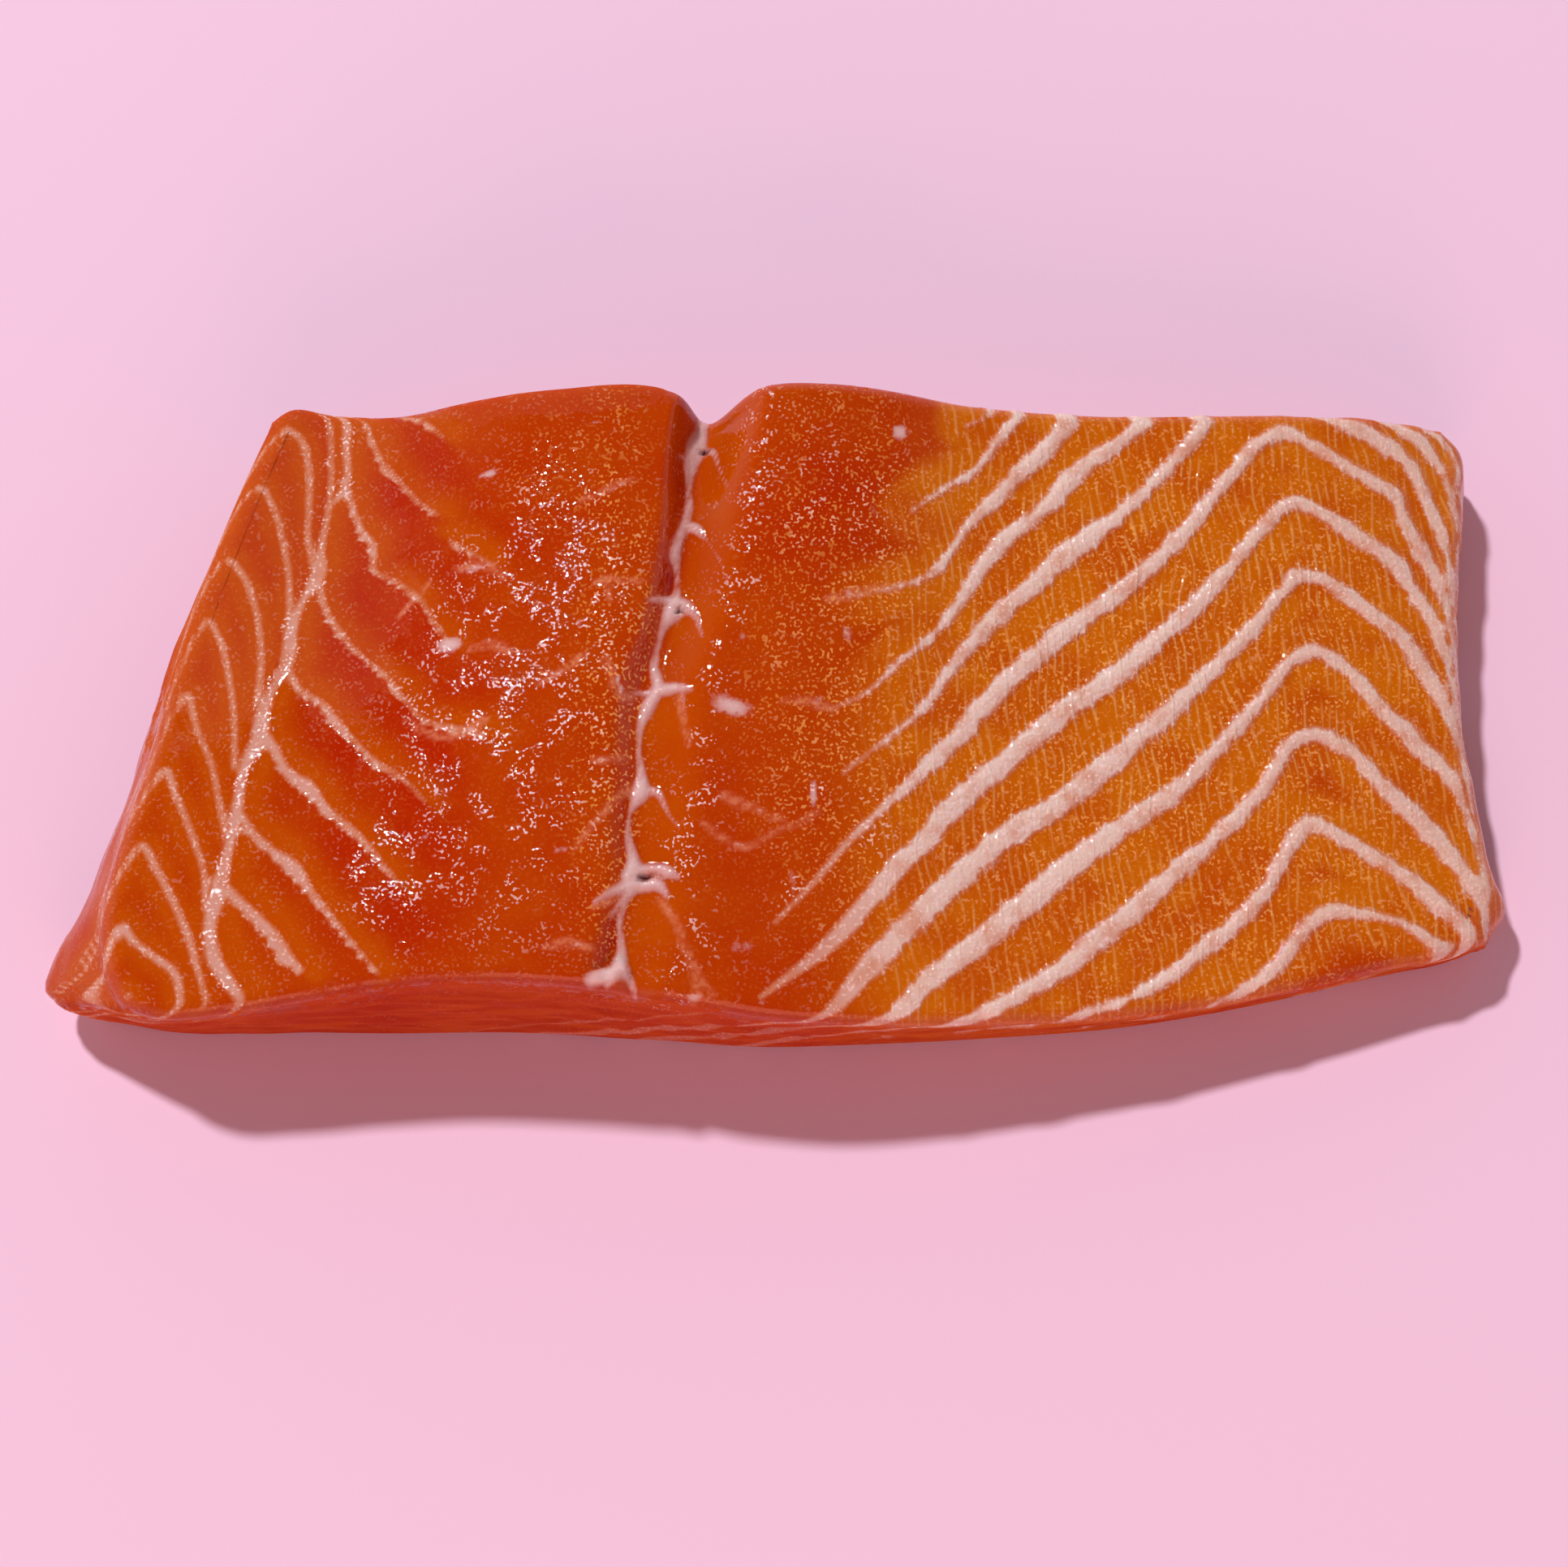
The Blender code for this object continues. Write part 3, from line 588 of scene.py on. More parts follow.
for step in steps:
    rings.append(extrude_ring(rings[-1]))
    move(rings[-1], *wall_ring(*step))
print("walls:", len(rings), "rings of", len(edge))

# %% [markdown]
# The underside is hidden in the photograph, and a cook would cut it flat to take the skin off. One
# last ring goes a little way inward, and one flat face closes the skin. The operator that
# recalculates the normals then turns every face outward. Extruding hands its faces over in an order
# that changes from run to run, so they are sorted, and the mesh is the same each time.

# %% Flat underside
sole = extrude_ring(rings[-1])
foot = np.array([v.co for v in rings[-1]]) / MM
move(sole, *(foot[:, :2] + DRAWN_MIDDLE - outward * SOLE_INSET).T, foot[:, 2])
bm.faces.new(sole)
bmesh.ops.recalc_face_normals(bm, faces=bm.faces)
bm.verts.index_update()


def face_number(face):
    """A number of its own for each face, from the lowest and the highest of its vertices."""
    ids = [v.index for v in face.verts]
    return min(ids) * len(bm.verts) + max(ids)


bm.faces.sort(key=face_number)
print("whole skin:", len(bm.verts), "vertices,", len(bm.faces), "faces")

# %% [markdown]
# ## Numbers for the material
#
# A material can read named numbers from the vertices. Each number below answers one question
# about a place on the skin: how deep it lies in fat, how torn that fat's edge is, how deep it
# lies in tissue, whether it is belly, cut face or underside. Rounded zones say where the flesh is
# red, grainy, beaded with water, dry or fibrous. The grainy zones also get painted golden glints,
# the beaded ones painted white glints, and the bone holes painted shade; the seam's steep bank gets
# painted shade and its gentle bank painted light. On the cut faces the lines of fat go on downwards,
# because each line is the edge of a sheet that slopes into the flesh.

# %% Where each vertex is
SLOPE_ON_CUTS = 1.7
SLOPE_ON_EDGES = 1.5
CUT_AT_RIM = 0.3
CUT_RAMP = 2.2
total = len(bm.verts)
place = np.array([v.co for v in sorted(bm.verts, key=lambda v: v.index)]) / MM
below = np.zeros(total)
facing = np.zeros((total, 2))
cut = np.zeros(total)
for (arc, down, _), ring in zip([(0.0, 0.0, 0.0)] + steps, rings):
    ids = [v.index for v in ring]
    below[ids] = wall_top - place[ids, 2]
    facing[ids] = outward
    cut[ids] = np.clip(CUT_AT_RIM * arc + CUT_RAMP * down, 0, 1) * outward[:, 1] ** 2
sole_ids = [v.index for v in sole]
under = np.zeros(total)
under[sole_ids] = 1
drawn = place[:, :2] + DRAWN_MIDDLE
spots = drawn - PATTERN_MIDDLE
across = spots[:, 0] + SLOPE_ON_CUTS * below * np.abs(facing[:, 1])
deep = spots[:, 1] + SLOPE_ON_EDGES * below * np.abs(facing[:, 0])
print("lowest point of the walls, mm:", below.max().round(1))

# %% Zones of the flesh
BANK_SHADE_ZONES = [(-12.4, 22, 4, 5, 0.8), (-13, 13, 4, 4, 1.0), (-16.5, -15, 4, 6, 0.6),
              (-18, -27, 4, 4, 0.9)]
RED_ZONES = [(-43, 2, 11, 40, 1.0), (7, 20, 9, 9, 0.7), (-37, 20, 14, 9, 0.6)]
GRAIN_AND_GLINT_ZONES = [(-18, 0, 5, 36, 0.9), (-24, 24, 7, 8, 0.5), (8, 4, 12, 34, 0.8),
                (45, 0, 38, 40, 0.8)]
BEAD_AND_GLINT_ZONES = [(-30, -4, 12, 22, 1.0), (-24, 12, 8, 12, 1.0), (-7, -4, 1.6, 3, 1.0),
                (-9, -12.5, 2.6, 4, 1.0), (-10.6, -19, 2.6, 5, 1.0), (-9, -27, 2.6, 5, 0.6),
                (-42, -20, 6, 8, 0.9), (1, -22, 1.5, 3, 0.9), (4, -11, 1.5, 2.5, 0.9),
                (6, 22, 8, 8, 0.5), (-3, 20, 1.6, 12, 0.7), (10, -14, 3, 4, 0.6)]
MATTE_ZONES = [(-49, 16, 8, 19, 1.0), (-64, 16, 12, 19, 1.0), (-55, 30, 12, 8, 1.0),
               (-24, 34, 14, 3, 1.0)]
FIBRE_ZONES = [(40, 6, 20, 26, 1.0), (58, 20, 8, 14, 1.0), (62, -8, 8, 16, 0.9)]


def zone_cover(zones, base):
    """How strongly rounded zones cover each vertex, from the base value up."""
    cover = np.full(total, base)
    for a, b, half_length, half_width, strength in zones:
        away = ((spots[:, 0] - a) / half_length) ** 2 + ((spots[:, 1] - b) / half_width) ** 2
        cover = np.maximum(cover, strength * np.exp(-away ** 2))
    return cover


print(len(BEAD_AND_GLINT_ZONES), "beaded zones,", len(MATTE_ZONES), "dry ones")

# %% Fat, tissue and holes at each vertex
TOOTH_REACH = 1.6
HALO_WIDTH = 4.2
HOOK_HALO = 0.6
HOOK_HALO_WIDTH = 2.5
WISP_EDGE = 0.35
PAINT_DEPTH = 2.5
broad = depth_inside(BELLY_BANDS, across, deep)
fat = np.maximum(broad, depth_inside(BACK_HOOKS + BACK_LINE + LOIN_VEINS, across, deep))
teeth = beside(LOIN_VEINS, across, deep, TOOTH_REACH, left=False)
run = run_along(LOIN_VEINS, across, deep)
halo = beside(BACK_LINE + LOIN_VEINS, across, deep, HALO_WIDTH, left=True)
hooks = ease((depth_inside(BACK_HOOKS, across, deep) + HOOK_HALO_WIDTH) / HOOK_HALO_WIDTH)
halo = np.maximum(halo, HOOK_HALO * hooks)
tissue = depth_inside(STRANDS + [FAT_LOBE], *spots.T)
tissue[below > PAINT_DEPTH] = -REACH
wisps = ease(1 + depth_inside(WISPS, *spots.T) / WISP_EDGE) * ease(1 - below / PAINT_DEPTH)
patches = patch_cover(*spots.T) * (1 - cut) * ease(1 - below / PAINT_DEPTH)
# The holes number says where painted shade darkens the bone holes.
holes = hole_cover(*spots.T) * (1 - cut)
print("share of fat:", (fat > 0).mean().round(3), "of tissue:", (tissue > 0).mean().round(3))

# %% Flesh at each vertex
SEAM_ENDS = (-35, 33)
BELLY_SPREAD = 4.5
BELLY_FADE = 2.5
BELLY_TURN = 14
BANK_EDGE = 0.6
BANK_WIDTH = 3.2
BANK_FADE = 2.6
STRIP_EDGE = 1.2
STRIP_WIDTH = 7.5
STRIP_FADE = 3.5
LINE_BEADS_AND_GLINTS = 0.9
LINE_BEAD_WIDTH = 0.6
CREST_BEADS_AND_GLINTS = 0.7
CREST_PLACE = 7.0
CREST_WIDTH = 2.2
from_seam = drawn[:, 0] - seam_x(np.clip(drawn[:, 1], *SEAM_ENDS))
belly = ease((broad + BELLY_SPREAD) / BELLY_FADE) * ease((spots[:, 0] - BELLY_START) / BELLY_TURN)
# The bank number marks the seam's steep bank, where a darker red is painted as painted shade.
bank = ease(from_seam / -BANK_EDGE) * ease((BANK_WIDTH + from_seam) / BANK_FADE)
bank = bank * zone_cover(BANK_SHADE_ZONES, 0.25)
# The strip number marks the seam's gentle bank: less grain there, and more orange painted in as painted
# light.
strip = ease(from_seam / STRIP_EDGE) * ease((STRIP_WIDTH - from_seam) / STRIP_FADE) * (1 - cut)
red = zone_cover(RED_ZONES, 0.0)
grainy_and_gold_glints = zone_cover(GRAIN_AND_GLINT_ZONES, 0.1) * (1 - 0.8 * strip) * (1 - 0.7 * cut)
# Beaded zones: the fine bump gives real glints here, and the colour gets painted white glints in
# clusters.
beads_and_painted_glints = zone_cover(BEAD_AND_GLINT_ZONES, 0.08) * (1 - 0.5 * cut)
on_line = ease(1 + depth_inside(BACK_LINE, across, deep) / LINE_BEAD_WIDTH)
on_crest = np.exp(-((from_seam - CREST_PLACE) / CREST_WIDTH) ** 2)
beads_and_painted_glints = np.maximum(beads_and_painted_glints, LINE_BEADS_AND_GLINTS * on_line * (1 - cut))
beads_and_painted_glints = np.maximum(beads_and_painted_glints, CREST_BEADS_AND_GLINTS * on_crest * (1 - cut))
matte = np.maximum(zone_cover(MATTE_ZONES, 0.0), cut)
fibrous = zone_cover(FIBRE_ZONES, 0.7) * (1 - cut)
for values in (teeth, halo, patches, belly, bank, strip, red, cut, grainy_and_gold_glints, beads_and_painted_glints, wisps, holes,
               fibrous):
    values[sole_ids] = 0
for values in (fat, tissue):
    values[sole_ids] = -REACH
matte[sole_ids] = 1
print("share of belly:", belly.mean().round(3), "of cut faces:", cut.mean().round(3))

# %% Put the numbers on the mesh
mesh = bpy.data.meshes.new("fillet_flesh")
bm.to_mesh(mesh)
bm.free()
numbers = {"fat": fat, "teeth": teeth, "run": run, "halo": halo, "tissue": tissue,
           "patches": patches, "belly": belly, "bank": bank, "strip": strip, "red": red,
           "cut": cut, "under": under, "grainy_and_gold_glints": grainy_and_gold_glints, "beads_and_painted_glints": beads_and_painted_glints, "matte": matte,
           "fibrous": fibrous, "wisps": wisps, "holes": holes}
for name, values in numbers.items():
    layer = mesh.attributes.new(name, "FLOAT", "POINT")
    layer.data.foreach_set("value", values.astype(np.float32))
mesh.shade_smooth()
fillet = bpy.data.objects.new("fillet_flesh", mesh)
bpy.context.scene.collection.objects.link(fillet)
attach(fillet, "root")
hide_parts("fillet")
print("numbers on the mesh:", ", ".join(numbers))

# %% [markdown]
# ## The look of raw salmon
#
# Raw flesh is three looks in one. Its colour goes from deep red in the middle of a flake to
# orange near fat, and the fat is a pale pink. Light goes a little way in and comes out again,
# which is subsurface scattering. A film of water on top gives small sharp glints, and white and
# golden specks in the colour stand for more of them as painted glints. One material
# holds all three, because they change from place to place and not from piece to piece. It is built
# up like a drawing, from masks to flesh to fat, and a few short helpers keep it readable.

# %% Helpers for the material
material = bpy.data.materials.new("salmon_flesh")
material.use_nodes = True
tree = material.node_tree
shader = tree.nodes["Principled BSDF"]


def linear(red, green, blue):
    """A colour as read from a screen, 0 to 255, as the linear colour that a shader needs."""
    parts = [c / 255 for c in (red, green, blue)]
    return tuple(p / 12.92 if p <= 0.04045 else ((p + 0.055) / 1.055) ** 2.4 for p in parts) + (1,)


def feed(socket, value):
    """Links a socket to a socket, or sets it to a plain value."""
    if isinstance(value, bpy.types.NodeSocket):
        tree.links.new(value, socket)
    else:
        socket.default_value = value


def sum_of(operation, a, b=0.0, c=0.0, clamp=False):
    """A Math node."""
    made = tree.nodes.new("ShaderNodeMath")
    made.operation, made.use_clamp = operation, clamp
    for socket, value in zip(made.inputs, (a, b, c)):
        feed(socket, value)
    return made.outputs[0]


def spread(value, low, high, to_low=0.0, to_high=1.0):
    """A smooth step: to_low where value is low, to_high where it is high."""
    made = tree.nodes.new("ShaderNodeMapRange")
    made.interpolation_type = "SMOOTHSTEP"
    for name, number in zip(("Value", "From Min", "From Max", "To Min", "To Max"),
                            (value, low, high, to_low, to_high)):
        feed(made.inputs[name], number)
    return made.outputs["Result"]


def blend(share, first, second):
    """A colour between two."""
    made = tree.nodes.new("ShaderNodeMix")
    made.data_type = "RGBA"
    feed(made.inputs["Factor"], share)
    feed(made.inputs[6], first)
    feed(made.inputs[7], second)
    return made.outputs[2]


def read(name):
    """A number from the mesh."""
    made = tree.nodes.new("ShaderNodeAttribute")
    made.attribute_name = name
    return made.outputs["Fac"]


coordinates = tree.nodes.new("ShaderNodeTexCoord").outputs["Object"]


def grain(size, detail=2.0, roughness=0.5, turn=(0, 0, 0), offset=(0, 0, 0)):
    """Noise from 0 to 1 whose features are size mm wide along each axis."""
    mapping = tree.nodes.new("ShaderNodeMapping")
    feed(mapping.inputs["Vector"], coordinates)
    mapping.inputs["Location"].default_value = offset
    mapping.inputs["Rotation"].default_value = turn
    mapping.inputs["Scale"].default_value = [1 / (side * MM) for side in size]
    made = tree.nodes.new("ShaderNodeTexNoise")
    feed(made.inputs["Vector"], mapping.outputs["Vector"])
    for name, value in (("Scale", 1.0), ("Detail", detail), ("Roughness", roughness)):
        made.inputs[name].default_value = value
    return made.outputs["Fac"]


print("helpers ready")

# %% [markdown]
# Fine pale fibres cross the flakes of the belly about a millimetre apart. They are thin stripes
# across the fillet, bent a little by noise and broken up by more of it, so that no two look alike.

# %% Fibres of the belly
FIBRE_PITCH = 1.05
FIBRE_LEAN = 0.14
FIBRE_WANDER = 4.0
spot = tree.nodes.new("ShaderNodeSeparateXYZ")
feed(spot.inputs[0], coordinates)
lane = sum_of("ADD", spot.outputs["X"], sum_of("MULTIPLY", spot.outputs["Y"], FIBRE_LEAN))
lane = sum_of("MULTIPLY", lane, 1 / (FIBRE_PITCH * MM))
lane = sum_of("ADD", lane, sum_of("MULTIPLY", grain((10, 10, 10), 1.0), FIBRE_WANDER))
fibres = spread(sum_of("PINGPONG", lane, 0.5), 0.24, 0.48)
fibres = sum_of("MULTIPLY", fibres, spread(grain((0.9, 4.0, 4.0), 1.0), 0.4, 0.62, 0.1, 1.0))
fibres = sum_of("MULTIPLY", fibres, sum_of("MULTIPLY", read("belly"), read("fibrous")))
print("fibres, nodes so far:", len(tree.nodes))

# %% [markdown]
# A mask says where a colour goes, from 0 to 1. For fat it starts from the depth that the mesh
# holds. Noise is added before the edge is cut, so the edge turns ragged while the band stays where
# it is. On the veins of the loin small teeth point to one side, as fat creeps in between fibres.

# %% Mask of the fat
TOOTH_PITCH = 2.1
TOOTH_LENGTH = 0.7
TOOTH_WANDER = 5.0
BAND_WAVE = 1.3
FIBRE_SWELL = 0.3
FAT_EDGE = (-0.3, 0.25)
cloud = grain((7, 7, 7), 2.0, 0.55)
film = sum_of("SUBTRACT", grain((0.9, 0.9, 0.9), 2.0, 0.6), 0.5)
tooth = sum_of("MULTIPLY", read("run"), 1 / TOOTH_PITCH)
tooth = sum_of("ADD", tooth, sum_of("MULTIPLY", cloud, TOOTH_WANDER))
tooth = sum_of("MULTIPLY", sum_of("PINGPONG", tooth, 0.5), 2.0)
tooth = sum_of("MULTIPLY", sum_of("POWER", tooth, 2.0), read("teeth"))
tooth = sum_of("MULTIPLY", tooth, spread(cloud, 0.35, 0.6, 0.3 * TOOTH_LENGTH, TOOTH_LENGTH))
ragged = sum_of("MULTIPLY", film, spread(read("belly"), 0.0, 1.0, 0.3, 0.6))
wavy = sum_of("MULTIPLY", sum_of("SUBTRACT", grain((2.6, 2.6, 2.6), 1.0), 0.5), read("belly"))
fat_depth = sum_of("ADD", read("fat"), sum_of("ADD", ragged, tooth))
fat_depth = sum_of("ADD", fat_depth, sum_of("MULTIPLY", wavy, BAND_WAVE))
fat_depth = sum_of("ADD", fat_depth, sum_of("MULTIPLY", fibres, FIBRE_SWELL))
fat_mask = spread(fat_depth, *FAT_EDGE)
print("mask of the fat, nodes so far:", len(tree.nodes))

# %% Masks of tissue, patches and wisps
TISSUE_RAGGED = 0.3
TISSUE_EDGE = (-0.22, 0.16)
tissue_depth = sum_of("ADD", read("tissue"), sum_of("MULTIPLY", film, TISSUE_RAGGED))
tissue_mask = spread(tissue_depth, *TISSUE_EDGE)
patch_film = spread(sum_of("ADD", read("patches"), film), 0.25, 0.65)
patch_mask = sum_of("MULTIPLY", read("patches"), patch_film)
wisp_mask = sum_of("MULTIPLY", read("wisps"), spread(film, -0.16, 0.14, 0.1, 0.45))
print("masks of tissue, nodes so far:", len(tree.nodes))

# %% Masks of gold grain with painted golden glints, and of painted white glints
clusters = spread(grain((2.6, 2.6, 2.6), 1.0), 0.47, 0.58)
crumb = grain((0.55, 0.55, 0.55), 1.0)
dust = grain((0.36, 0.36, 0.36), 0.0)
painted_glint_specks = spread(dust, 0.61, 0.7)
uneven = spread(grain((3.4, 2.2, 3.4), 1.0), 0.4, 0.6, 0.45, 1.0)
# Gold specks: partly a grain of the flesh, partly painted golden glints.
gold_grain_and_glints = sum_of("MULTIPLY", spread(dust, 0.56, 0.7), sum_of("MULTIPLY", read("grainy_and_gold_glints"), uneven))
# Painted glints: white specks in clusters on the beaded zones, put into the base colour.
painted_sparkle = sum_of("MULTIPLY", read("beads_and_painted_glints"), clusters)
painted_bead_glints = sum_of("MULTIPLY", painted_glint_specks, painted_sparkle)
print("masks of grain, nodes so far:", len(tree.nodes))

# %% [markdown]
# The flesh of the loin is deep red, and orange where fat is near. On the seam's gentle bank more
# orange is painted in as painted light, where that bank catches the light, and on its steep bank a
# darker red is painted as painted shade. The belly is orange all over. One share per place, summed
# from the mesh's numbers, says how far the colour has gone from red to orange, so the two melt
# together as in the fish.

# %% Flesh of the loin
LOIN_RED = linear(172, 28, 0)
LOIN_ORANGE = linear(186, 74, 0)
BANK_SHADE_RED = linear(152, 14, 3)
ORANGE_SHARE = 0.6
RED_TAKES = 0.42
HALO_ADDS = 0.75
STRIP_LIGHT_ADDS = 0.3
loin_share = sum_of("SUBTRACT", ORANGE_SHARE, sum_of("MULTIPLY", read("red"), RED_TAKES))
loin_share = sum_of("ADD", loin_share, sum_of("MULTIPLY", read("halo"), HALO_ADDS))
# Painted light: the gentle bank of the seam is pushed towards orange.
loin_share = sum_of("ADD", loin_share, sum_of("MULTIPLY", read("strip"), STRIP_LIGHT_ADDS))
loin_share = sum_of("ADD", loin_share, spread(cloud, 0.3, 0.7, -0.14, 0.12), clamp=True)
loin = blend(loin_share, LOIN_RED, LOIN_ORANGE)
# Painted shade: the steep bank of the seam gets a darker red.
loin = blend(sum_of("MULTIPLY", read("bank"), spread(film, -0.2, 0.1, 0.5, 1.0)), loin, BANK_SHADE_RED)
print("loin, nodes so far:", len(tree.nodes))

# %% Flesh of the belly
BELLY_ORANGE = linear(200, 104, 4)
BELLY_RED = linear(190, 82, 3)
FIBRE_PALE = linear(220, 150, 78)
FIBRE_SHARE = 0.85
belly_flesh = blend(spread(cloud, 0.35, 0.7), BELLY_ORANGE, BELLY_RED)
belly_flesh = blend(sum_of("MULTIPLY", fibres, FIBRE_SHARE), belly_flesh, FIBRE_PALE)
flesh = blend(read("belly"), loin, belly_flesh)
print("belly, nodes so far:", len(tree.nodes))

# %% Gold grain with painted golden glints, and cut faces
GOLD_GRAIN_AND_GLINT = linear(246, 178, 92)
GOLD_GRAIN_AND_GLINT_SHARE = 0.65
CUT_RED = linear(160, 36, 0)
CUT_PALE = linear(184, 70, 4)
FLAKE_SIZE = (8, 8, 1.4)
FLAKE_SHARE = 0.7
CUT_SHARE = 0.7
# Gold grain and painted golden glints go into the base colour here.
flesh = blend(sum_of("MULTIPLY", gold_grain_and_glints, GOLD_GRAIN_AND_GLINT_SHARE), flesh, GOLD_GRAIN_AND_GLINT)
flakes = spread(grain(FLAKE_SIZE, 3.0, 0.6), 0.42, 0.62)
cut_flesh = blend(sum_of("MULTIPLY", flakes, FLAKE_SHARE), CUT_RED, CUT_PALE)
flesh = blend(sum_of("MULTIPLY", read("cut"), CUT_SHARE), flesh, cut_flesh)
print("cut faces, nodes so far:", len(tree.nodes))

# %% [markdown]
# Underneath, where the skin came off, the sheets between the flakes end as faint chevrons. The
# underside has one face and so no vertices inside it to hold numbers, but the material can still
# draw there: a chevron is a row of stripes across the fillet, shifted by how far off-centre it is.

# %% Faint sheets on the underside
SHEET_PITCH = 9.0
SHEET_SLANT = 0.6
SHEET_WANDER = 0.8
SHEET_PALE = linear(214, 140, 104)
sheets = sum_of("MULTIPLY", sum_of("ABSOLUTE", spot.outputs["Y"]), SHEET_SLANT)
sheets = sum_of("MULTIPLY", sum_of("ADD", spot.outputs["X"], sheets), 1 / (SHEET_PITCH * MM))
sheets = sum_of("ADD", sheets, sum_of("MULTIPLY", cloud, SHEET_WANDER))
sheets = spread(sum_of("PINGPONG", sheets, 0.5), 0.34, 0.47, 0.1, 0.55)
flesh = blend(sum_of("MULTIPLY", sheets, read("under")), flesh, SHEET_PALE)
print("underside, nodes so far:", len(tree.nodes))

# %% [markdown]
# Fat is palest where it is thick, and lets the flesh show through where it thins out at an edge or
# in a blotch. So its colour follows the same depth as its mask. Tissue does the same in white.
# Both are laid over the flesh, and last come painted glints: white specks in the colour that stand for
# light scattered by the wet top.

# %% Colour of the fat
FAT_PALE = linear(226, 200, 190)
FAT_BACK = linear(212, 164, 150)
FAT_THIN = linear(204, 128, 92)
FAT_ON_BACK, FAT_ON_BELLY, FAT_AT_EDGE, FAT_ON_CUT = 0.8, 0.96, 0.8, 0.3
EDGE_FADE = (40 * MM, 66 * MM)
fat_deep = blend(read("belly"), FAT_BACK, FAT_PALE)
fat_colour = blend(spread(fat_depth, 0.0, 0.5), FAT_THIN, fat_deep)
fat_colour = blend(spread(grain((3.4, 3.4, 3.4), 2.0), 0.45, 0.75, 0.0, 0.6), fat_colour, FAT_THIN)
fat_share = spread(read("belly"), 0.0, 1.0, FAT_ON_BACK, FAT_ON_BELLY)
fat_share = sum_of("MULTIPLY", fat_mask, fat_share)
to_edge = spread(spot.outputs["X"], *EDGE_FADE, 1.0, FAT_AT_EDGE)
fat_share = sum_of("MULTIPLY", fat_share, to_edge)
fat_share = sum_of("MULTIPLY", fat_share, spread(read("cut"), 0.0, 1.0, 1.0, FAT_ON_CUT))
print("fat, nodes so far:", len(tree.nodes))

# %% Colour of the tissue, and the whole
TISSUE_WHITE = linear(218, 186, 186)
TISSUE_THIN = linear(198, 128, 118)
TISSUE_SHARE = 0.92
WISP_PINK = linear(226, 150, 112)
HOLE_SHADE = linear(124, 28, 16)
PAINTED_GLINT_WHITE = linear(250, 226, 226)
PAINTED_GLINTS_ON_FAT = 0.5
PAINTED_GLINT_SHARE = 0.75
tissue_colour = blend(spread(tissue_depth, -0.1, 0.7), TISSUE_THIN, TISSUE_WHITE)
colour = blend(wisp_mask, flesh, WISP_PINK)
colour = blend(fat_share, colour, fat_colour)
colour = blend(patch_mask, colour, TISSUE_WHITE)
colour = blend(sum_of("MULTIPLY", tissue_mask, TISSUE_SHARE), colour, tissue_colour)
# Painted shade: the bone holes are coloured dark.
colour = blend(read("holes"), colour, HOLE_SHADE)
# Painted glints: white specks painted on the fat and in the beaded clusters.
painted_fat_glints = sum_of("MULTIPLY", painted_glint_specks, sum_of("MULTIPLY", fat_share, PAINTED_GLINTS_ON_FAT))
painted_glints = sum_of("ADD", painted_bead_glints, painted_fat_glints, clamp=True)
colour = blend(sum_of("MULTIPLY", painted_glints, PAINTED_GLINT_SHARE), colour, PAINTED_GLINT_WHITE)
feed(shader.inputs["Base Color"], colour)
print("colour, nodes so far:", len(tree.nodes))

# %% [markdown]
# A wet surface is a smooth one, so its roughness is low. Left at that, it would mirror the lamp as
# one broad white patch wherever it slopes the right way. Dry zones with a ragged edge keep that
# patch away, and in the wet ones a fine bump breaks it up into glints. The bump gets its height
# from the same masks as the colour, so grain and colour never slide apart.

# %% Wet and dry
WET = (0.035, 0.06)
DRY_EDGE = (0.42, 0.45)
DRY_ADDS = 0.9
DRY_RAGGED = 1.2
shader.inputs["IOR"].default_value = 1.33
shader.inputs["Subsurface Weight"].default_value = 0.3
shader.inputs["Subsurface Radius"].default_value = (1.0, 0.3, 0.1)
shader.inputs["Subsurface Scale"].default_value = MM
wet = spread(cloud, 0.35, 0.65, *WET)
dry = sum_of("ADD", read("matte"), spread(cloud, 0.3, 0.7, -0.25, 0.25))
dry = sum_of("ADD", dry, sum_of("MULTIPLY", film, DRY_RAGGED))
feed(shader.inputs["Roughness"], sum_of("ADD", wet, spread(dry, *DRY_EDGE, 0.0, DRY_ADDS)))
print("wet and dry, nodes so far:", len(tree.nodes))

# %% Fine bump
CRUMB_HEIGHT = 0.02
GOLD_HEIGHT = 0.08
BEAD_HEIGHT = 0.12
FAT_HEIGHT = 0.12
FIBRE_HEIGHT = 0.08
TISSUE_HEIGHT = 0.06
bumpy = sum_of("MULTIPLY", read("beads_and_painted_glints"), spread(clusters, 0.0, 1.0, 0.35, 1.0))
band = sum_of("MULTIPLY", fat_mask, read("belly"))
relief = sum_of("MULTIPLY", read("grainy_and_gold_glints"), GOLD_HEIGHT)
relief = sum_of("ADD", relief, sum_of("MULTIPLY", bumpy, BEAD_HEIGHT))
relief = sum_of("ADD", relief, sum_of("MULTIPLY", tissue_mask, TISSUE_HEIGHT))
relief = sum_of("ADD", relief, sum_of("MULTIPLY", band, FAT_HEIGHT))
height = sum_of("MULTIPLY", crumb, sum_of("ADD", relief, CRUMB_HEIGHT))
height = sum_of("ADD", height, sum_of("MULTIPLY", fibres, FIBRE_HEIGHT))
bump = tree.nodes.new("ShaderNodeBump")
bump.inputs["Distance"].default_value = MM
feed(bump.inputs["Height"], height)
feed(shader.inputs["Normal"], bump.outputs["Normal"])
fillet.data.materials.append(material)
print("material nodes:", len(tree.nodes))

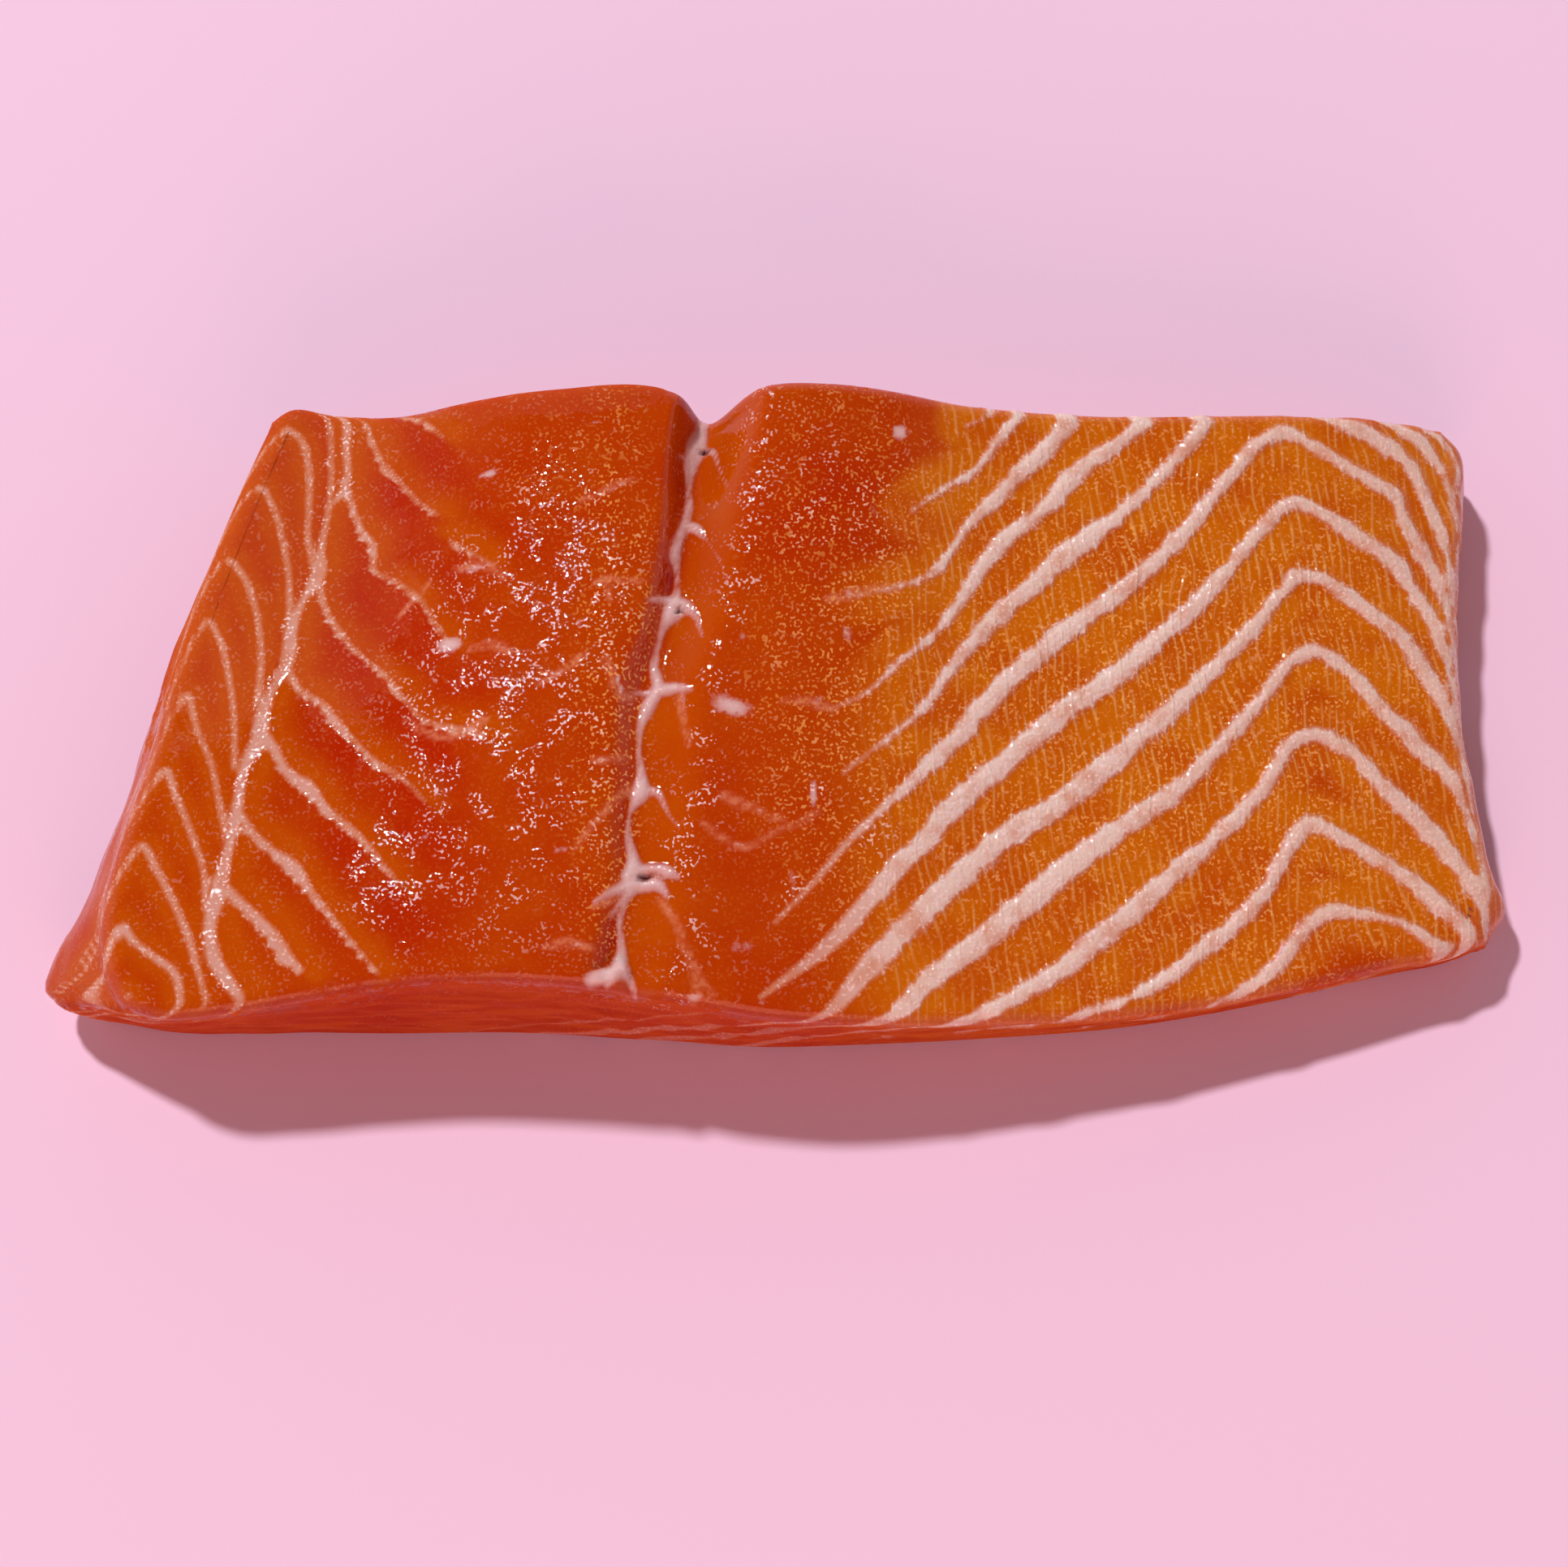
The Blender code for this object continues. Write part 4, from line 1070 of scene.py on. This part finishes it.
# %% [markdown]
# ## Floor, light and camera
#
# The fillet lies on a plain pale sheet, a hair lower than the underside, so that the two surfaces
# never share a plane and flicker. One lamp behind and to the left gives the shadow that falls
# towards the viewer. A weak warm lamp in front stands for the light that the sheet throws back on
# to the near cut. The world is bright at the horizon and dim overhead: that lights the walls, and
# keeps the wet top, which mirrors what is above it, from going grey. The camera looks down at
# 74 degrees.

# %% Floor
FLOOR_PINK = linear(237, 200, 227)
FLOOR_SIZE = 3.0
FLOOR_GAP = 0.1 * MM
FLOOR_ROUGHNESS = 0.9
bpy.ops.mesh.primitive_plane_add(size=FLOOR_SIZE)
floor = bpy.context.object
for corner in floor.data.vertices:
    corner.co.z = -FLOOR_GAP
floor.name = "floor"
paper = bpy.data.materials.new("pale_paper")
paper.use_nodes = True
sheet = paper.node_tree.nodes["Principled BSDF"]
sheet.inputs["Base Color"].default_value = FLOOR_PINK
sheet.inputs["Roughness"].default_value = FLOOR_ROUGHNESS
floor.data.materials.append(paper)
print("floor, m:", round(floor.dimensions.x, 1), "wide")

# %% Lamps
KEY_PLACE = Vector((-0.75, 1.00, 1.80))
KEY_POWER = 38.0
KEY_SIZE = 0.16
FILL_PLACE = Vector((0.0, -0.6, 0.3))
FILL_POWER = 1.5
FILL_SIZE = 0.4
FILL_COLOUR = (1.0, 0.38, 0.26)


def lamp(name, place, power, size, colour=(1, 1, 1)):
    """A round lamp that points at the middle of the scene."""
    data = bpy.data.lights.new(name, "AREA")
    data.shape, data.size, data.energy, data.color = "DISK", size, power, colour
    made = bpy.data.objects.new(name, data)
    made.location = place
    made.rotation_euler = (-place).to_track_quat("-Z", "Y").to_euler()
    bpy.context.scene.collection.objects.link(made)


lamp("key", KEY_PLACE, KEY_POWER, KEY_SIZE)
lamp("fill", FILL_PLACE, FILL_POWER, FILL_SIZE, FILL_COLOUR)
print("key light, mm from the fillet:", round(KEY_PLACE.length / MM))

# %% World
SKY_PINK = (1.0, 0.86, 0.89, 1)
SKY_AT_HORIZON = 1.0
SKY_OVERHEAD = 0.05
HORIZON_ENDS = 0.2
OVERHEAD_STARTS = 0.75
world = bpy.data.worlds.new("studio")
world.use_nodes = True
sky = world.node_tree.nodes["Background"]
sky.inputs["Color"].default_value = SKY_PINK
direction = world.node_tree.nodes.new("ShaderNodeTexCoord").outputs["Generated"]
upward = world.node_tree.nodes.new("ShaderNodeSeparateXYZ")
dim = world.node_tree.nodes.new("ShaderNodeMapRange")
for name, value in (("From Min", HORIZON_ENDS), ("From Max", OVERHEAD_STARTS),
                    ("To Min", SKY_AT_HORIZON), ("To Max", SKY_OVERHEAD)):
    dim.inputs[name].default_value = value
world.node_tree.links.new(direction, upward.inputs[0])
world.node_tree.links.new(upward.outputs["Z"], dim.inputs["Value"])
world.node_tree.links.new(dim.outputs["Result"], sky.inputs["Strength"])
bpy.context.scene.world = world
bpy.context.scene.view_settings.view_transform = "Standard"
print("world, horizon to overhead:", SKY_AT_HORIZON, SKY_OVERHEAD)

# %% Camera
CAMERA_DISTANCE = 0.400
CAMERA_ELEVATION = math.radians(74)
CAMERA_TARGET = Vector((0.41, -3.99, 0)) * MM
SENSOR = 36.0
FRAME_WIDTH = 1932
FOCAL_PIXELS = 4280
camera_data = bpy.data.cameras.new("camera")
camera_data.sensor_width = SENSOR
camera_data.lens = FOCAL_PIXELS / FRAME_WIDTH * SENSOR
camera = bpy.data.objects.new("camera", camera_data)
back = Vector((0, -math.cos(CAMERA_ELEVATION), math.sin(CAMERA_ELEVATION)))
camera.location = CAMERA_TARGET + back * CAMERA_DISTANCE
camera.rotation_euler = (-back).to_track_quat("-Z", "Y").to_euler()
bpy.context.scene.collection.objects.link(camera)
bpy.context.scene.camera = camera
print("camera lens, mm:", round(camera_data.lens, 2))
